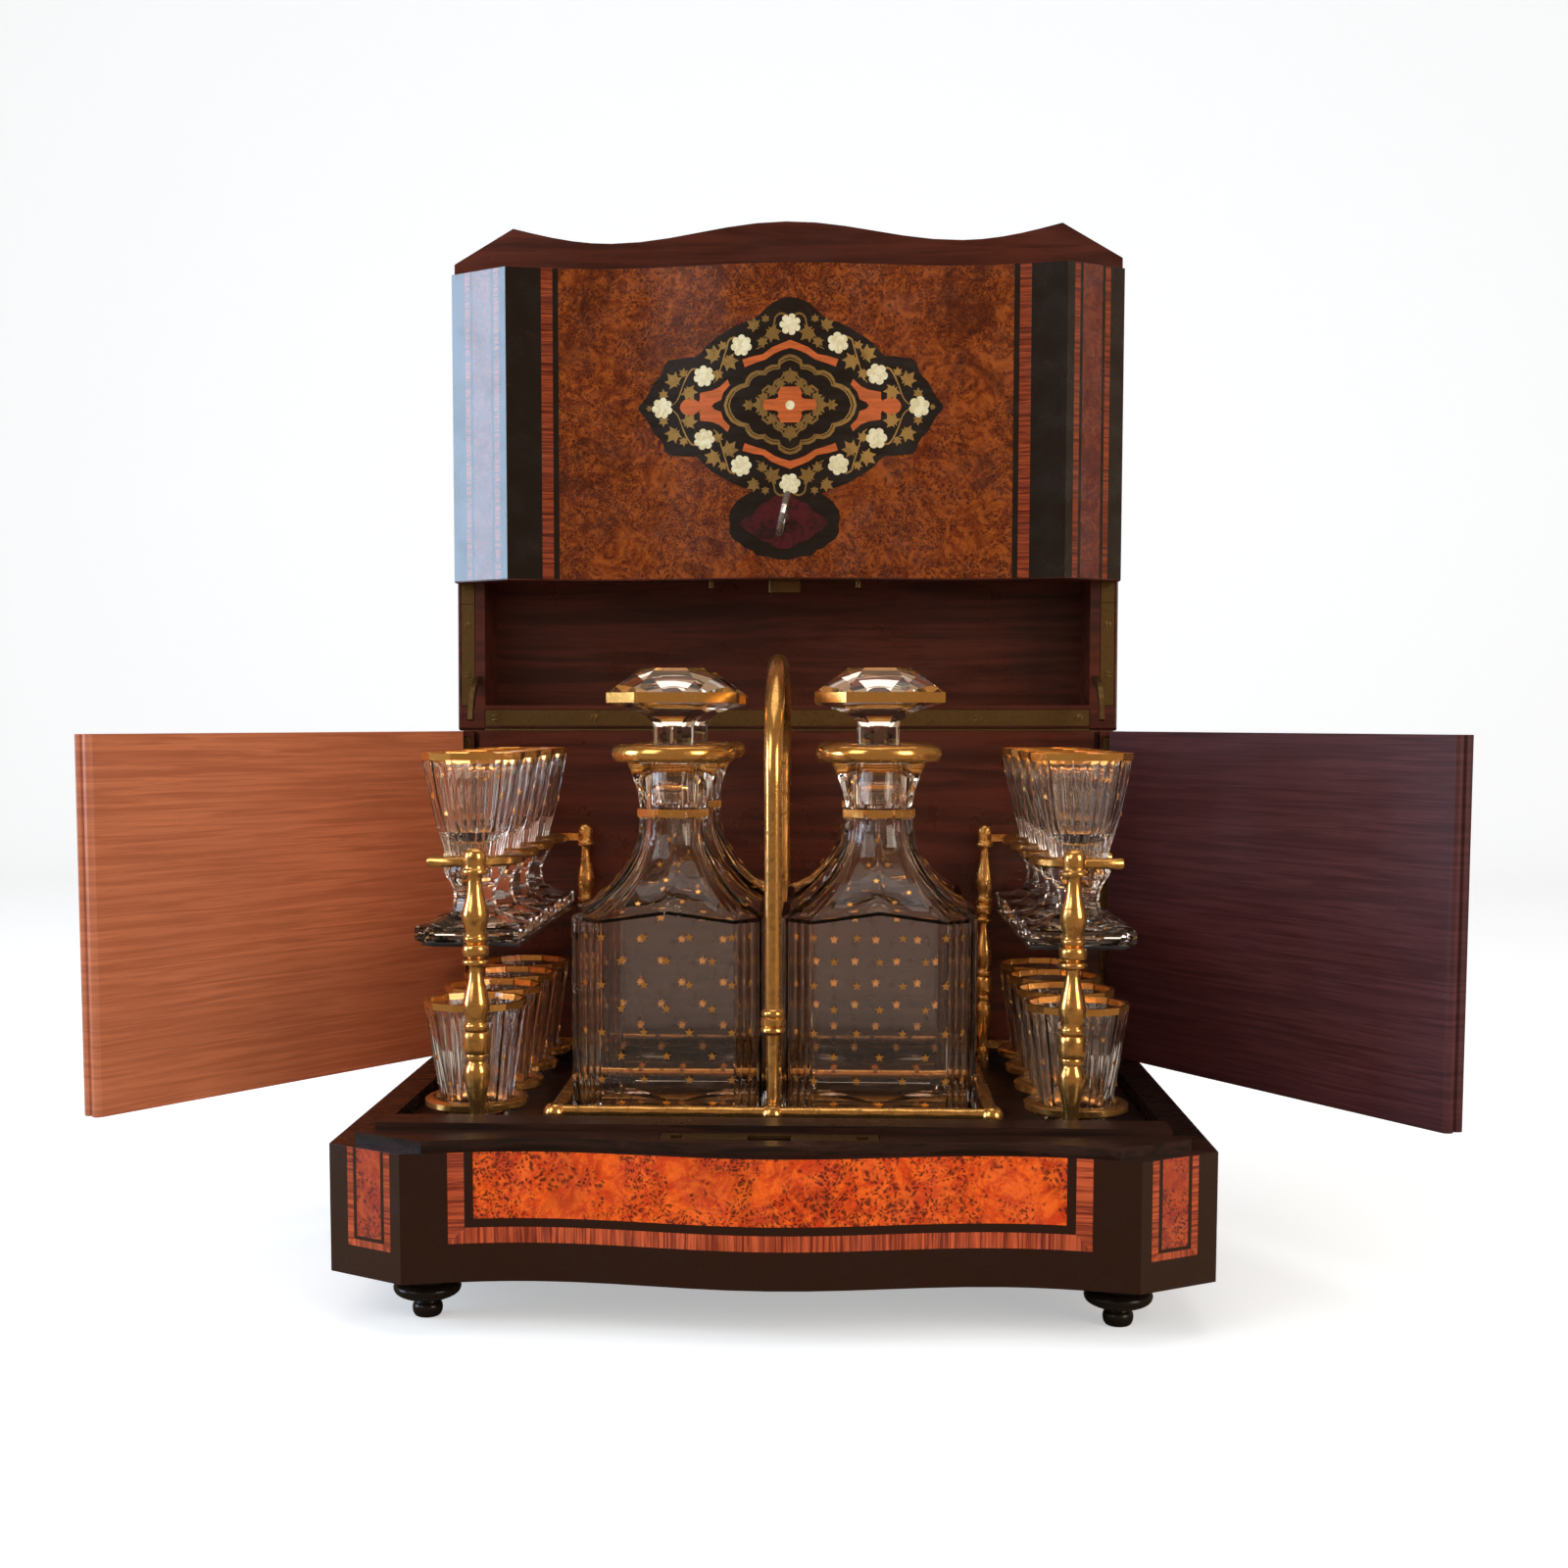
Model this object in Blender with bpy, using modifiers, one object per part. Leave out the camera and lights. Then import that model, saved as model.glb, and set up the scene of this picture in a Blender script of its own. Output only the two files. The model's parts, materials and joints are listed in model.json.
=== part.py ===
"""Serpentine liqueur cabinet, shown open: base on four turned feet, hinged sides, lid with a drop
front, and a lifting gilt rack with four decanters and sixteen glasses. Metres, +Z up, front to -Y."""

from math import cos, pi, radians, sin, tau

import bmesh
import bpy
from mathutils import Matrix, Vector

# Clearances
SEAT = 0.0003
RUN = 0.0006
OVERRUN = 0.002
FUSE = 0.0008

# Feet
FOOT_HEIGHT = 0.020
FOOT_RADIUS = 0.0129
PEG_RADIUS = 0.004
PEG_HEIGHT = 0.004
FRONT_FOOT_SPREAD = 0.131
REAR_FOOT_SPREAD = 0.139
FRONT_FOOT_INSET = 0.013
REAR_FOOT_INSET = 0.0065

# Cabinet body
PANEL_THICKNESS = 0.0085
PANEL_WIDTH = 0.320
LIP_DEPTH = 0.0153
DOOR_THICKNESS = 0.010
DOOR_HEIGHT = 0.1522
HINGE_OFFSET = 0.0003
LEFT_DOOR_OPEN = 35.0
RIGHT_DOOR_OPEN = 31.5

# Base
BASE_WIDTH = 0.330
BASE_HEIGHT = 0.0487
SIDE_RAIL_WIDTH = 0.0127
FLOOR_DROP = 0.006
FLOOR_THICKNESS = 0.006
BOARD_THICKNESS = 0.006
BASE_CANT = 0.0304
BASE_SIDE_DEPTH = 0.0075
BASE_CORNER_DEPTH = 0.0255
BASE_TROUGH_DEPTH = 0.018
BASE_BOW_DEPTH = 0.0275
SILL_RISE = 0.004
SILL_INSET = 0.004
LIP_RISE = 0.0025
LIP_WIDTH = 0.299

# Lid and drop front
LID_WIDTH = 0.314
LID_HEIGHT = 0.045
LID_RECESS = 0.035
LID_RIM = 0.013
LID_REAR_RAIL = 0.012
LID_FRONT_RAIL = 0.008
LID_LEAN = 2.0
FLAP_FOLD = 91.4
LID_EDGE_ROUND = 0.0012
FRONT_CANT = 0.028
FRONT_SIDE_DEPTH = 0.0065
FRONT_CORNER_DEPTH = 0.023
FRONT_TROUGH_DEPTH = 0.0155
FRONT_BOW_DEPTH = 0.025
TROUGH_SHARE = 0.64
FRONT_GAP = 0.0009
BEAD_DROP = 0.004
FLAP_HINGE_GAP = 0.0005

# Brass let into the wood
BRASS = 0.0012
LID_HINGE_WIDTH = 0.0076
LID_HINGE_MARGIN = 0.0022
LID_HINGE_LENGTH = 0.288
PIN_RADIUS = 0.001
LID_STRIP_WIDTH = 0.0064
LID_STRIP_EDGE = 0.0016
LID_STRIP_JOINT = 0.060
JOINT_CUT = 0.0005
DOOR_STRIP_WIDTH = 0.008
DOOR_STRIP_EDGE = 0.0025
STRIP_END_MARGIN = 0.003
STAY_THICKNESS = 0.0022
STAY_INNER_RADIUS = 0.022
STAY_OUTER_RADIUS = 0.026
STAY_SWEEP = 80.0
STAY_INSET = 0.0038
STAY_SLOT_DEPTH = 0.006

# Lock
LOCK_LENGTH = 0.079
LOCK_WIDTH = 0.011
LOCK_INSET = 0.0025
STRIKE_LENGTH = 0.081
BOLT_WIDTH = 0.015
BOLT_THICKNESS = 0.004
BOLT_THROW = 0.0056
BOLT_BODY = 0.012
STEADY_RADIUS = 0.0015
STEADY_LENGTH = 0.003
STEADY_SPREAD = 0.0345
CLOSING_SWEEP = 0.004
KEY_HEIGHT = 0.027
KEY_SHAFT_RADIUS = 0.002
KEY_SHAFT_LENGTH = 0.013
KEY_BIT_DEPTH = 0.011
KEY_BOW_LENGTH = 0.014
KEY_BOW_WIDTH = 0.019
KEY_BOW_RADIUS = 0.0014

# Rack
ROD_RADIUS = 0.0029
SIDE_ROD_RADIUS = 0.0027
INNER_ROD_RADIUS = 0.0021
ROD_HEIGHT = 0.0108
KNOB_RADIUS = 0.0042
ROD_CLEARANCE = 0.0026
RACK_FOOT_RADIUS = 0.0018
RACK_MARGIN = 0.0012
HANDLE_RADIUS = 0.0034
HANDLE_INSET = 0.0018
HANDLE_TOP_GAP = 0.0025
POST_RADIUS = 0.0041
POST_HEIGHT = 0.1148
POST_SPREAD = 0.115
KNOB_GAP = 0.0002
REAR_GLASS = 0.0275
FRONT_ROOM = 0.0345
RING_THICKNESS = 0.0024
LOWER_RING_HEIGHT = 0.0092
LOWER_RING_SHARE = 0.756
UPPER_RING_HEIGHT = 0.107
UPPER_RING_SHARE = 0.644
RING_WIDTH = 0.0031
RING_BAR = 0.0052
SHELF_HEIGHT = 0.0725
SHELF_THICKNESS = 0.0045
SHELF_MARGIN = 0.0008

# Decanters
DECANTER_WIDTH = 0.077
DECANTER_CANT = 0.012
DECANTER_GAP = 0.006
ROW_GAP = 0.0065
BODY_HEIGHT = 0.086
NECK_RADIUS = 0.0145
NECK_HEIGHT = 0.124
FLARE_HEIGHT = 0.138
COLLAR_RADIUS = 0.02575
COLLAR_THICKNESS = 0.0075
DECANTER_HEIGHT = 0.1539
WALL = 0.004
BORE_RADIUS = 0.0095
STOPPER_WIDTH = 0.0515
STOPPER_CANT = 0.0125
STOPPER_BAND = 0.004
STOPPER_TABLE = 0.025
STOPPER_HEIGHT = 0.0305
STOPPER_BAND_TOP = 0.0207
STEM_RADIUS = 0.0082
PLUG_LENGTH = 0.024

# Glasses; a ring's share is of the radius of the glass in it
GLASS_FOOT = 0.041
GLASS_GAP = 0.001
GLASS_FOOT_HEIGHT = 0.0055
GLASS_HEIGHT = 0.0735
GLASS_WALL = 0.0016
TUMBLER_HEIGHT = 0.0522
GLASS_STEPS = 12

# Turned outlines: share of the radius, share of the height
FOOT_SHARES = ((0.0, 0.0), (0.38, 0.0), (0.45, 0.08), (0.45, 0.24), (0.35, 0.33), (0.62, 0.38), (0.92, 0.46),
               (1.0, 0.57), (0.94, 0.67), (0.82, 0.72), (0.87, 0.78), (0.84, 0.87), (0.68, 0.93), (0.68, 1.0))
POST_SHARES = ((0.0, 0.0), (0.95, 0.0), (1.0, 0.03), (0.6, 0.07), (0.9, 0.1), (0.9, 0.125), (0.55, 0.15),
               (0.62, 0.3), (0.95, 0.33), (0.95, 0.42), (0.6, 0.45), (0.95, 0.53), (0.5, 0.62),
               (0.9, 0.64), (0.9, 0.665), (0.5, 0.69), (0.95, 0.8), (0.55, 0.91), (0.9, 0.93),
               (0.85, 0.97), (0.45, 1.0), (0.0, 1.0))
STEM_SHARES = ((0.0, 0.02), (0.66, 0.02), (0.66, 0.07), (0.42, 0.12), (0.29, 0.18), (0.27, 0.24),
               (0.4, 0.34), (0.56, 0.43), (0.6, 0.47), (0.75, 0.58), (0.85, 0.595), (1.0, 1.0))
BOWL_SHARES = ((0.45, 0.52), (0.0, 0.5))
TUMBLER_SHARES = ((0.0, 0.0), (1.0, 0.0), (1.04, 0.05), (1.1, 0.23), (1.18, 0.25), (1.6, 1.0))
TUMBLER_BASE_SHARE = 0.16
BOW_STEPS, REED_STEPS = 6, 5
REED_GROOVE_SHARE = 0.08
HANDLE_ARCH_SHARES = (0.0, 0.12, 0.25, 0.38, 0.5)
HANDLE_SPRING_SHARE = 0.74

# Heights and planes that follow from them
BASE_TOP = FOOT_HEIGHT + BASE_HEIGHT
FLOOR_TOP = BASE_TOP - FLOOR_DROP
WALL_FOOT = BASE_TOP + SEAT
WALL_TOP = WALL_FOOT + DOOR_HEIGHT
LID_PLANE = WALL_TOP + SEAT
LID_AXIS = Vector((0, PANEL_THICKNESS, LID_PLANE))
GLASS_PITCH = GLASS_FOOT + GLASS_GAP
GLASS_RADIUS = TUMBLER_RADIUS = GLASS_FOOT / 2
TUMBLER_FOOT_RADIUS = TUMBLER_RADIUS / TUMBLER_SHARES[-1][0]
LOWER_RING_RADIUS = TUMBLER_RADIUS * LOWER_RING_SHARE
UPPER_RING_RADIUS = GLASS_RADIUS * UPPER_RING_SHARE
FRONT_GLASS = REAR_GLASS + 3 * GLASS_PITCH
STAND_FRONT = -(FRONT_GLASS + GLASS_RADIUS + KNOB_GAP / 2 + POST_RADIUS)
INTERIOR_DEPTH = FRONT_GLASS + FRONT_ROOM
DOOR_LENGTH = INTERIOR_DEPTH + LIP_DEPTH
DOOR_END = -(DOOR_LENGTH + 2 * HINGE_OFFSET)
FLAP_BACK = DOOR_END - FRONT_GAP
FLAP_REACH = PANEL_THICKNESS - FLAP_BACK
FLAP_DROP = BEAD_DROP + FLAP_HINGE_GAP
SILL_TOP = BASE_TOP + SILL_RISE
LIP_TOP = SILL_TOP + LIP_RISE
FLAP_HEIGHT = LID_PLANE - FLAP_DROP - SILL_TOP - FRONT_GAP
RACK_FLOOR = FLOOR_TOP + SEAT
LOCK_Y = -(LOCK_INSET + LOCK_WIDTH / 2)
DECANTER_X = (DECANTER_WIDTH + DECANTER_GAP) / 2
DECANTER_PITCH = DECANTER_WIDTH + ROW_GAP
REAR_ROD = -(RACK_MARGIN + KNOB_RADIUS + ROD_CLEARANCE)
REAR_ROW = REAR_ROD - ROD_RADIUS - ROD_CLEARANCE / 2 - DECANTER_WIDTH / 2
FRONT_ROW = REAR_ROW - DECANTER_PITCH
FRONT_ROD = FRONT_ROW - DECANTER_WIDTH / 2 - ROD_CLEARANCE - ROD_RADIUS
SIDE_ROD = DECANTER_X + DECANTER_WIDTH / 2 + ROD_CLEARANCE + ROD_RADIUS
REAR_POST_SPREAD = SIDE_ROD + KNOB_RADIUS + KNOB_GAP + POST_RADIUS
GLASS_SPREAD = REAR_POST_SPREAD + POST_RADIUS + RUN + SHELF_MARGIN + GLASS_FOOT / 2

MATERIALS = {
    "ebonised": ((0.012, 0.010, 0.010, 1), 0.25, 0.0),
    "burl": ((0.45, 0.10, 0.03, 1), 0.22, 0.0),
    "mahogany": ((0.11, 0.030, 0.017, 1), 0.35, 0.0),
    "dark_wood": ((0.035, 0.014, 0.012, 1), 0.3, 0.0),
    "brass": ((0.33, 0.23, 0.10, 1), 0.4, 0.9),
    "gilt": ((0.80, 0.50, 0.16, 1), 0.25, 1.0),
    "crystal": ((0.86, 0.80, 0.78, 1), 0.05, 0.0),
}


def material(name):
    """The named finish, made once."""
    found = bpy.data.materials.get(name)
    if found:
        return found
    colour, roughness, metallic = MATERIALS[name]
    made = bpy.data.materials.new(name)
    made.use_nodes = True
    shader = made.node_tree.nodes["Principled BSDF"]
    shader.inputs["Base Color"].default_value = colour
    shader.inputs["Roughness"].default_value = roughness
    shader.inputs["Metallic"].default_value = metallic
    if name == "crystal":
        shader.inputs["Transmission Weight"].default_value = 1.0
        shader.inputs["IOR"].default_value = 1.52
    made.diffuse_color = colour
    return made


def empty(name, parent, location=(0, 0, 0), rotation=(0, 0, 0)):
    """A frame that carries pieces, such as a hinge axis."""
    obj = bpy.data.objects.new(name, None)
    obj.empty_display_size = FOOT_HEIGHT
    cabinet.objects.link(obj)
    obj.parent = parent
    obj.location = location
    obj.rotation_euler = rotation
    return obj


def piece(name, mesh, parent, location=(0, 0, 0), rotation=(0, 0, 0)):
    """An object of the cabinet, in its parent's frame."""
    obj = bpy.data.objects.new(name, mesh)
    cabinet.objects.link(obj)
    obj.parent = parent
    obj.location = location
    obj.rotation_euler = rotation
    return obj


def baked(obj):
    """The object's evaluated mesh, in its own frame, welded and facing out; the object goes."""
    graph = bpy.context.evaluated_depsgraph_get()
    mesh = bpy.data.meshes.new_from_object(obj.evaluated_get(graph), depsgraph=graph)
    work = bmesh.new()
    work.from_mesh(mesh)
    bmesh.ops.remove_doubles(work, verts=work.verts, dist=1e-6)
    bmesh.ops.recalc_face_normals(work, faces=work.faces)
    work.to_mesh(mesh)
    work.free()
    bpy.data.objects.remove(obj)
    return mesh


def block(name, parent, low, high):
    """A box between two corners."""
    work = bmesh.new()
    bmesh.ops.create_cube(work, size=1)
    low, high = Vector(low), Vector(high)
    bmesh.ops.scale(work, vec=high - low, verts=work.verts)
    bmesh.ops.translate(work, vec=(low + high) / 2, verts=work.verts)
    mesh = bpy.data.meshes.new(name)
    work.to_mesh(mesh)
    work.free()
    return piece(name, mesh, parent)


def rod(name, parent, start, end, radius, sides=12):
    """A round bar between two points."""
    start, end = Vector(start), Vector(end)
    work = bmesh.new()
    turn = (end - start).to_track_quat("Z", "Y").to_matrix().to_4x4()
    bmesh.ops.create_cone(work, cap_ends=True, segments=sides, radius1=radius, radius2=radius,
                          depth=(end - start).length,
                          matrix=Matrix.Translation((start + end) / 2) @ turn)
    mesh = bpy.data.meshes.new(name)
    work.to_mesh(mesh)
    work.free()
    return piece(name, mesh, parent)


def ball(name, parent, centre, radius):
    """A small knob."""
    work = bmesh.new()
    tilt = Matrix.Rotation(radians(11), 4, "Z") @ Matrix.Rotation(radians(7), 4, "X")
    bmesh.ops.create_uvsphere(work, u_segments=9, v_segments=6, radius=radius,
                              matrix=Matrix.Translation(centre) @ tilt)
    mesh = bpy.data.meshes.new(name)
    work.to_mesh(mesh)
    work.free()
    return piece(name, mesh, parent)


def prism(name, parent, outline, bottom, top, frame=None):
    """A flat outline given thickness from bottom to top, turned by frame where one is given."""
    curve = bpy.data.curves.new(name, "CURVE")
    curve.dimensions = "2D"
    curve.fill_mode = "BOTH"
    curve.extrude = (top - bottom) / 2
    spline = curve.splines.new("POLY")
    spline.points.add(len(outline) - 1)
    for point, (x, y) in zip(spline.points, outline):
        point.co = (x, y, 0, 1)
    spline.use_cyclic_u = True
    mesh = baked(piece(name, curve, None))
    mesh.transform(Matrix.Translation((0, 0, (top + bottom) / 2)))
    if frame:
        mesh.transform(frame)
    return piece(name, mesh, parent)


def tube(name, parent, points, radius, shares=None, closed=False):
    """A round bar bent through the points, its radius varied by the shares."""
    curve = bpy.data.curves.new(name, "CURVE")
    curve.dimensions = "3D"
    curve.bevel_depth = radius
    curve.bevel_resolution = 2
    curve.use_fill_caps = True
    spline = curve.splines.new("POLY")
    spline.points.add(len(points) - 1)
    for index, (point, place) in enumerate(zip(spline.points, points)):
        point.co = (*place, 1)
        point.radius = shares[index] if shares else 1
    spline.use_cyclic_u = closed
    return piece(name, baked(piece(name, curve, None)), parent)


def turned(name, parent, profile, steps):
    """A profile of radius and height, listed from the bottom up its outer side, turned about Z."""
    mesh = bpy.data.meshes.new(name)
    points = [(radius, 0, height) for radius, height in reversed(profile)]
    mesh.from_pydata(points, [(i, i + 1) for i in range(len(points) - 1)], [])
    obj = piece(name, mesh, None)
    screw = obj.modifiers.new("turn", "SCREW")
    screw.steps = screw.render_steps = steps
    screw.use_merge_vertices = True
    screw.merge_threshold = 1e-6
    mesh = baked(obj)
    mesh.transform(Matrix.Rotation(pi / steps, 4, "Z"))
    return piece(name, mesh, parent)


def canted(half, cant, height):
    """Sixteen points round a square with its corners cut off."""
    points = []
    for quarter in range(4):
        turn = Matrix.Rotation(quarter * pi / 2, 4, "Z")
        for x, y in ((half, 0), (half, half - cant), (half - cant / 2, half - cant / 2), (half - cant, half)):
            points.append(turn @ Vector((x, y, height)))
    return points


def circle(radius, height):
    """Sixteen points round a circle."""
    return [Vector((radius * cos(tau * i / 16), radius * sin(tau * i / 16), height)) for i in range(16)]


def blend(first, second, share):
    """A section part of the way from one to the other."""
    return [a.lerp(b, share) for a, b in zip(first, second)]


def loft(name, parent, sections):
    """A skin through sections that run from the first cap to the last."""
    work = bmesh.new()
    rings = [[work.verts.new(point) for point in section] for section in sections]
    for lower, upper in zip(rings, rings[1:]):
        for i in range(len(lower)):
            j = (i + 1) % len(lower)
            work.faces.new((lower[i], lower[j], upper[j], upper[i]))
    work.faces.new(reversed(rings[0]))
    work.faces.new(rings[-1])
    bmesh.ops.recalc_face_normals(work, faces=work.faces)
    mesh = bpy.data.meshes.new(name)
    work.to_mesh(mesh)
    work.free()
    return piece(name, mesh, parent)


def boolean(target, others, operation, solver="EXACT"):
    """Joins or cuts with the other shapes, which stay in the scene as wires."""
    for other in others:
        modifier = target.modifiers.new(other.name, "BOOLEAN")
        modifier.operation = operation
        modifier.solver = solver
        modifier.object = other
        other.parent = target.parent
        other.hide_render = True
        other.display_type = "WIRE"
        cabinet.objects.unlink(other)
        cutters.objects.link(other)
    return target


def join(target, *others):
    return boolean(target, others, "UNION")


def cut(target, *others):
    return boolean(target, others, "DIFFERENCE")


def bevelled(obj, width, segments=2):
    """Rounds the sharp edges."""
    modifier = obj.modifiers.new("round", "BEVEL")
    modifier.width = width
    modifier.segments = segments
    modifier.limit_method = "ANGLE"
    modifier.angle_limit = radians(50)
    return obj


def smooth(obj, angle=35):
    """Smooth shading but for edges sharper than the angle."""
    obj.data.shade_smooth()
    obj.data.set_sharp_from_angle(angle=radians(angle))
    return obj


def finish(obj, name):
    """Gives the finish to a mesh that may be shared."""
    obj.data.materials.clear()
    obj.data.materials.append(material(name))
    return obj


def front(half_width, cant, side, corner, trough, bow, plane):
    """The serpentine front from right to left: bow, hollow, horn and canted corner, in front of plane."""
    flat = half_width - cant
    hollow = flat * TROUGH_SHARE
    half = [(hollow * i / BOW_STEPS, trough + (bow - trough) * (1 + cos(pi * i / BOW_STEPS)) / 2)
            for i in range(BOW_STEPS + 1)]
    half += [(hollow + (flat - hollow) * i / REED_STEPS,
              trough + (corner - trough) * (1 - cos(pi / 2 * i / REED_STEPS)))
             for i in range(1, REED_STEPS + 1)]
    half.append((half_width, side))
    right = [(x, plane - depth) for x, depth in reversed(half)]
    return right + [(-x, y) for x, y in reversed(right[:-1])]


def inset(sizes, amount):
    """The sizes of a front outline drawn in by an amount."""
    half_width, cant, side, corner, trough, bow = sizes
    return half_width - amount, cant, side - amount / 2, corner - amount, trough - amount, bow - amount


def profile(shares, radius, height, bottom=0.0):
    return [(radius * r, bottom + height * z) for r, z in shares]


def make_base(root):
    """Rails, boards and feet under the cabinet."""
    half = BASE_WIDTH / 2
    inner = half - SIDE_RAIL_WIDTH
    sizes = (half, BASE_CANT, BASE_SIDE_DEPTH, BASE_CORNER_DEPTH, BASE_TROUGH_DEPTH, BASE_BOW_DEPTH)
    back = -INTERIOR_DEPTH - SEAT
    rail = prism("base_front_rail", root, [(-half, back), (half, back)] + front(*sizes, FLAP_BACK),
                 FOOT_HEIGHT, BASE_TOP)
    lid_half = LID_WIDTH / 2
    sill_sizes = (lid_half, FRONT_CANT, FRONT_SIDE_DEPTH, FRONT_CORNER_DEPTH, FRONT_TROUGH_DEPTH,
                  FRONT_BOW_DEPTH)
    sill_sizes = inset(sill_sizes, SILL_INSET - (BASE_BOW_DEPTH - FRONT_BOW_DEPTH))
    sill_half = sill_sizes[0]
    sill_back = DOOR_END - FRONT_GAP / 2
    join(rail,
         prism("sill", root, [(-sill_half, sill_back), (sill_half, sill_back)] + front(*sill_sizes, FLAP_BACK),
               BASE_TOP - OVERRUN, SILL_TOP),
         block("lip", root, (-LIP_WIDTH / 2, sill_back - FRONT_GAP / 8, BASE_TOP - OVERRUN),
               (LIP_WIDTH / 2, back - FUSE, LIP_TOP)))
    lock_y = FLAP_BACK + LOCK_Y
    strike_half = Vector((STRIKE_LENGTH, LOCK_WIDTH, 0)) / 2
    centre = Vector((0, lock_y, SILL_TOP))
    bolt_half = BOLT_WIDTH / 2 + RUN
    slot_low = (-bolt_half, lock_y - BOLT_THICKNESS / 2 - CLOSING_SWEEP, SILL_TOP - 2 * BOLT_THROW)
    slot_high = (bolt_half, lock_y + BOLT_THICKNESS / 2 + RUN, SILL_TOP + OVERRUN)
    sockets = [(-STEADY_SPREAD, lock_y), (STEADY_SPREAD, lock_y)]
    grow = Vector((SEAT, SEAT, 0))
    cut(rail,
        block("strike_seat", root, centre - strike_half - grow - Vector((0, 0, BRASS + SEAT)),
              centre + strike_half + grow + Vector((0, 0, OVERRUN))),
        block("bolt_socket", root, slot_low, slot_high),
        *[block("pin_socket", root,
                (x - STEADY_RADIUS - RUN, y - STEADY_RADIUS - CLOSING_SWEEP / 2, SILL_TOP - 2 * STEADY_LENGTH),
                (x + STEADY_RADIUS + RUN, y + STEADY_RADIUS + RUN, SILL_TOP + OVERRUN)) for x, y in sockets])
    finish(rail, "burl")
    strike = block("strike_plate", root, centre - strike_half - Vector((0, 0, BRASS)), centre + strike_half)
    cut(strike,
        block("bolt_slot", root, slot_low, slot_high),
        *[block("pin_slot", root,
                (x - STEADY_RADIUS - RUN, y - STEADY_RADIUS - CLOSING_SWEEP / 2, SILL_TOP - OVERRUN - BRASS),
                (x + STEADY_RADIUS + RUN, y + STEADY_RADIUS + RUN, SILL_TOP + OVERRUN)) for x, y in sockets])
    finish(strike, "brass")
    for name, side in (("base_left_rail", -1), ("base_right_rail", 1)):
        near, far = sorted((side * inner, side * half))
        finish(block(name, root, (near, -INTERIOR_DEPTH, FOOT_HEIGHT), (far, -SEAT, BASE_TOP)), "ebonised")
    finish(block("base_back_rail", root, (-half, 0, FOOT_HEIGHT), (half, PANEL_THICKNESS, BASE_TOP)),
           "ebonised")
    room = inner - SEAT
    finish(block("base_floor_board", root, (-room, -INTERIOR_DEPTH, FLOOR_TOP - FLOOR_THICKNESS),
                 (room, -SEAT, FLOOR_TOP)), "dark_wood")
    board = finish(block("base_bottom_board", root, (-room, -INTERIOR_DEPTH, FOOT_HEIGHT),
                         (room, -SEAT, FOOT_HEIGHT + BOARD_THICKNESS)), "dark_wood")
    foot_height = FOOT_HEIGHT - SEAT
    outline = profile(FOOT_SHARES, FOOT_RADIUS, foot_height)
    outline += [(PEG_RADIUS, foot_height), (PEG_RADIUS, foot_height + PEG_HEIGHT), (0, foot_height + PEG_HEIGHT)]
    places = {
        "foot_front_left": (-FRONT_FOOT_SPREAD, -INTERIOR_DEPTH - FRONT_FOOT_INSET),
        "foot_front_right": (FRONT_FOOT_SPREAD, -INTERIOR_DEPTH - FRONT_FOOT_INSET),
        "foot_rear_left": (-REAR_FOOT_SPREAD, -REAR_FOOT_INSET),
        "foot_rear_right": (REAR_FOOT_SPREAD, -REAR_FOOT_INSET),
    }
    shape = smooth(finish(turned("foot", root, outline, 18), "ebonised")).data
    bpy.data.objects.remove(bpy.data.objects["foot"])
    for name, (x, y) in places.items():
        piece(name, shape, root, (x, y, 0))
        carrier = rail if "front" in name else board
        cut(carrier, rod("peg_hole", root, (x, y, FOOT_HEIGHT - OVERRUN), (x, y, FOOT_HEIGHT + PEG_HEIGHT + RUN),
                         PEG_RADIUS + RUN))


def make_back(root):
    """The back panel with its stay slots and the leaves on which the sides hang."""
    half = PANEL_WIDTH / 2
    panel = block("back_panel", root, (-half, 0, WALL_FOOT), (half, PANEL_THICKNESS, WALL_TOP))
    cutting = [rod("pin_groove", root, (-half - OVERRUN, *LID_AXIS.yz), (half + OVERRUN, *LID_AXIS.yz),
                   PIN_RADIUS + SEAT)]
    low, high = WALL_FOOT + STRIP_END_MARGIN, WALL_TOP - STRIP_END_MARGIN
    for side, name in ((-1, "door_hinge_strip_left"), (1, "door_hinge_strip_right")):
        near, far = sorted((side * (half - DOOR_STRIP_EDGE), side * (half - DOOR_STRIP_EDGE - DOOR_STRIP_WIDTH)))
        cutting.append(block("strip_seat", root, (near - SEAT, -OVERRUN, low - SEAT),
                             (far + SEAT, BRASS + SEAT, high + SEAT)))
        finish(block(name, root, (near, 0, low), (far, BRASS, high)), "brass")
        stay_near, stay_far = stay_sides(side)
        cutting.append(block("stay_slot", root,
                             (stay_near - SEAT, -OVERRUN, LID_PLANE - STAY_OUTER_RADIUS - RUN),
                             (stay_far + SEAT, STAY_SLOT_DEPTH, WALL_TOP + OVERRUN)))
    cut(panel, *cutting)
    finish(panel, "mahogany")


def stay_sides(side):
    """The two faces of a stay across the cabinet."""
    outer = LID_WIDTH / 2 - LID_RIM + STAY_INSET
    return sorted((side * (outer - STAY_THICKNESS), side * outer))


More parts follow.
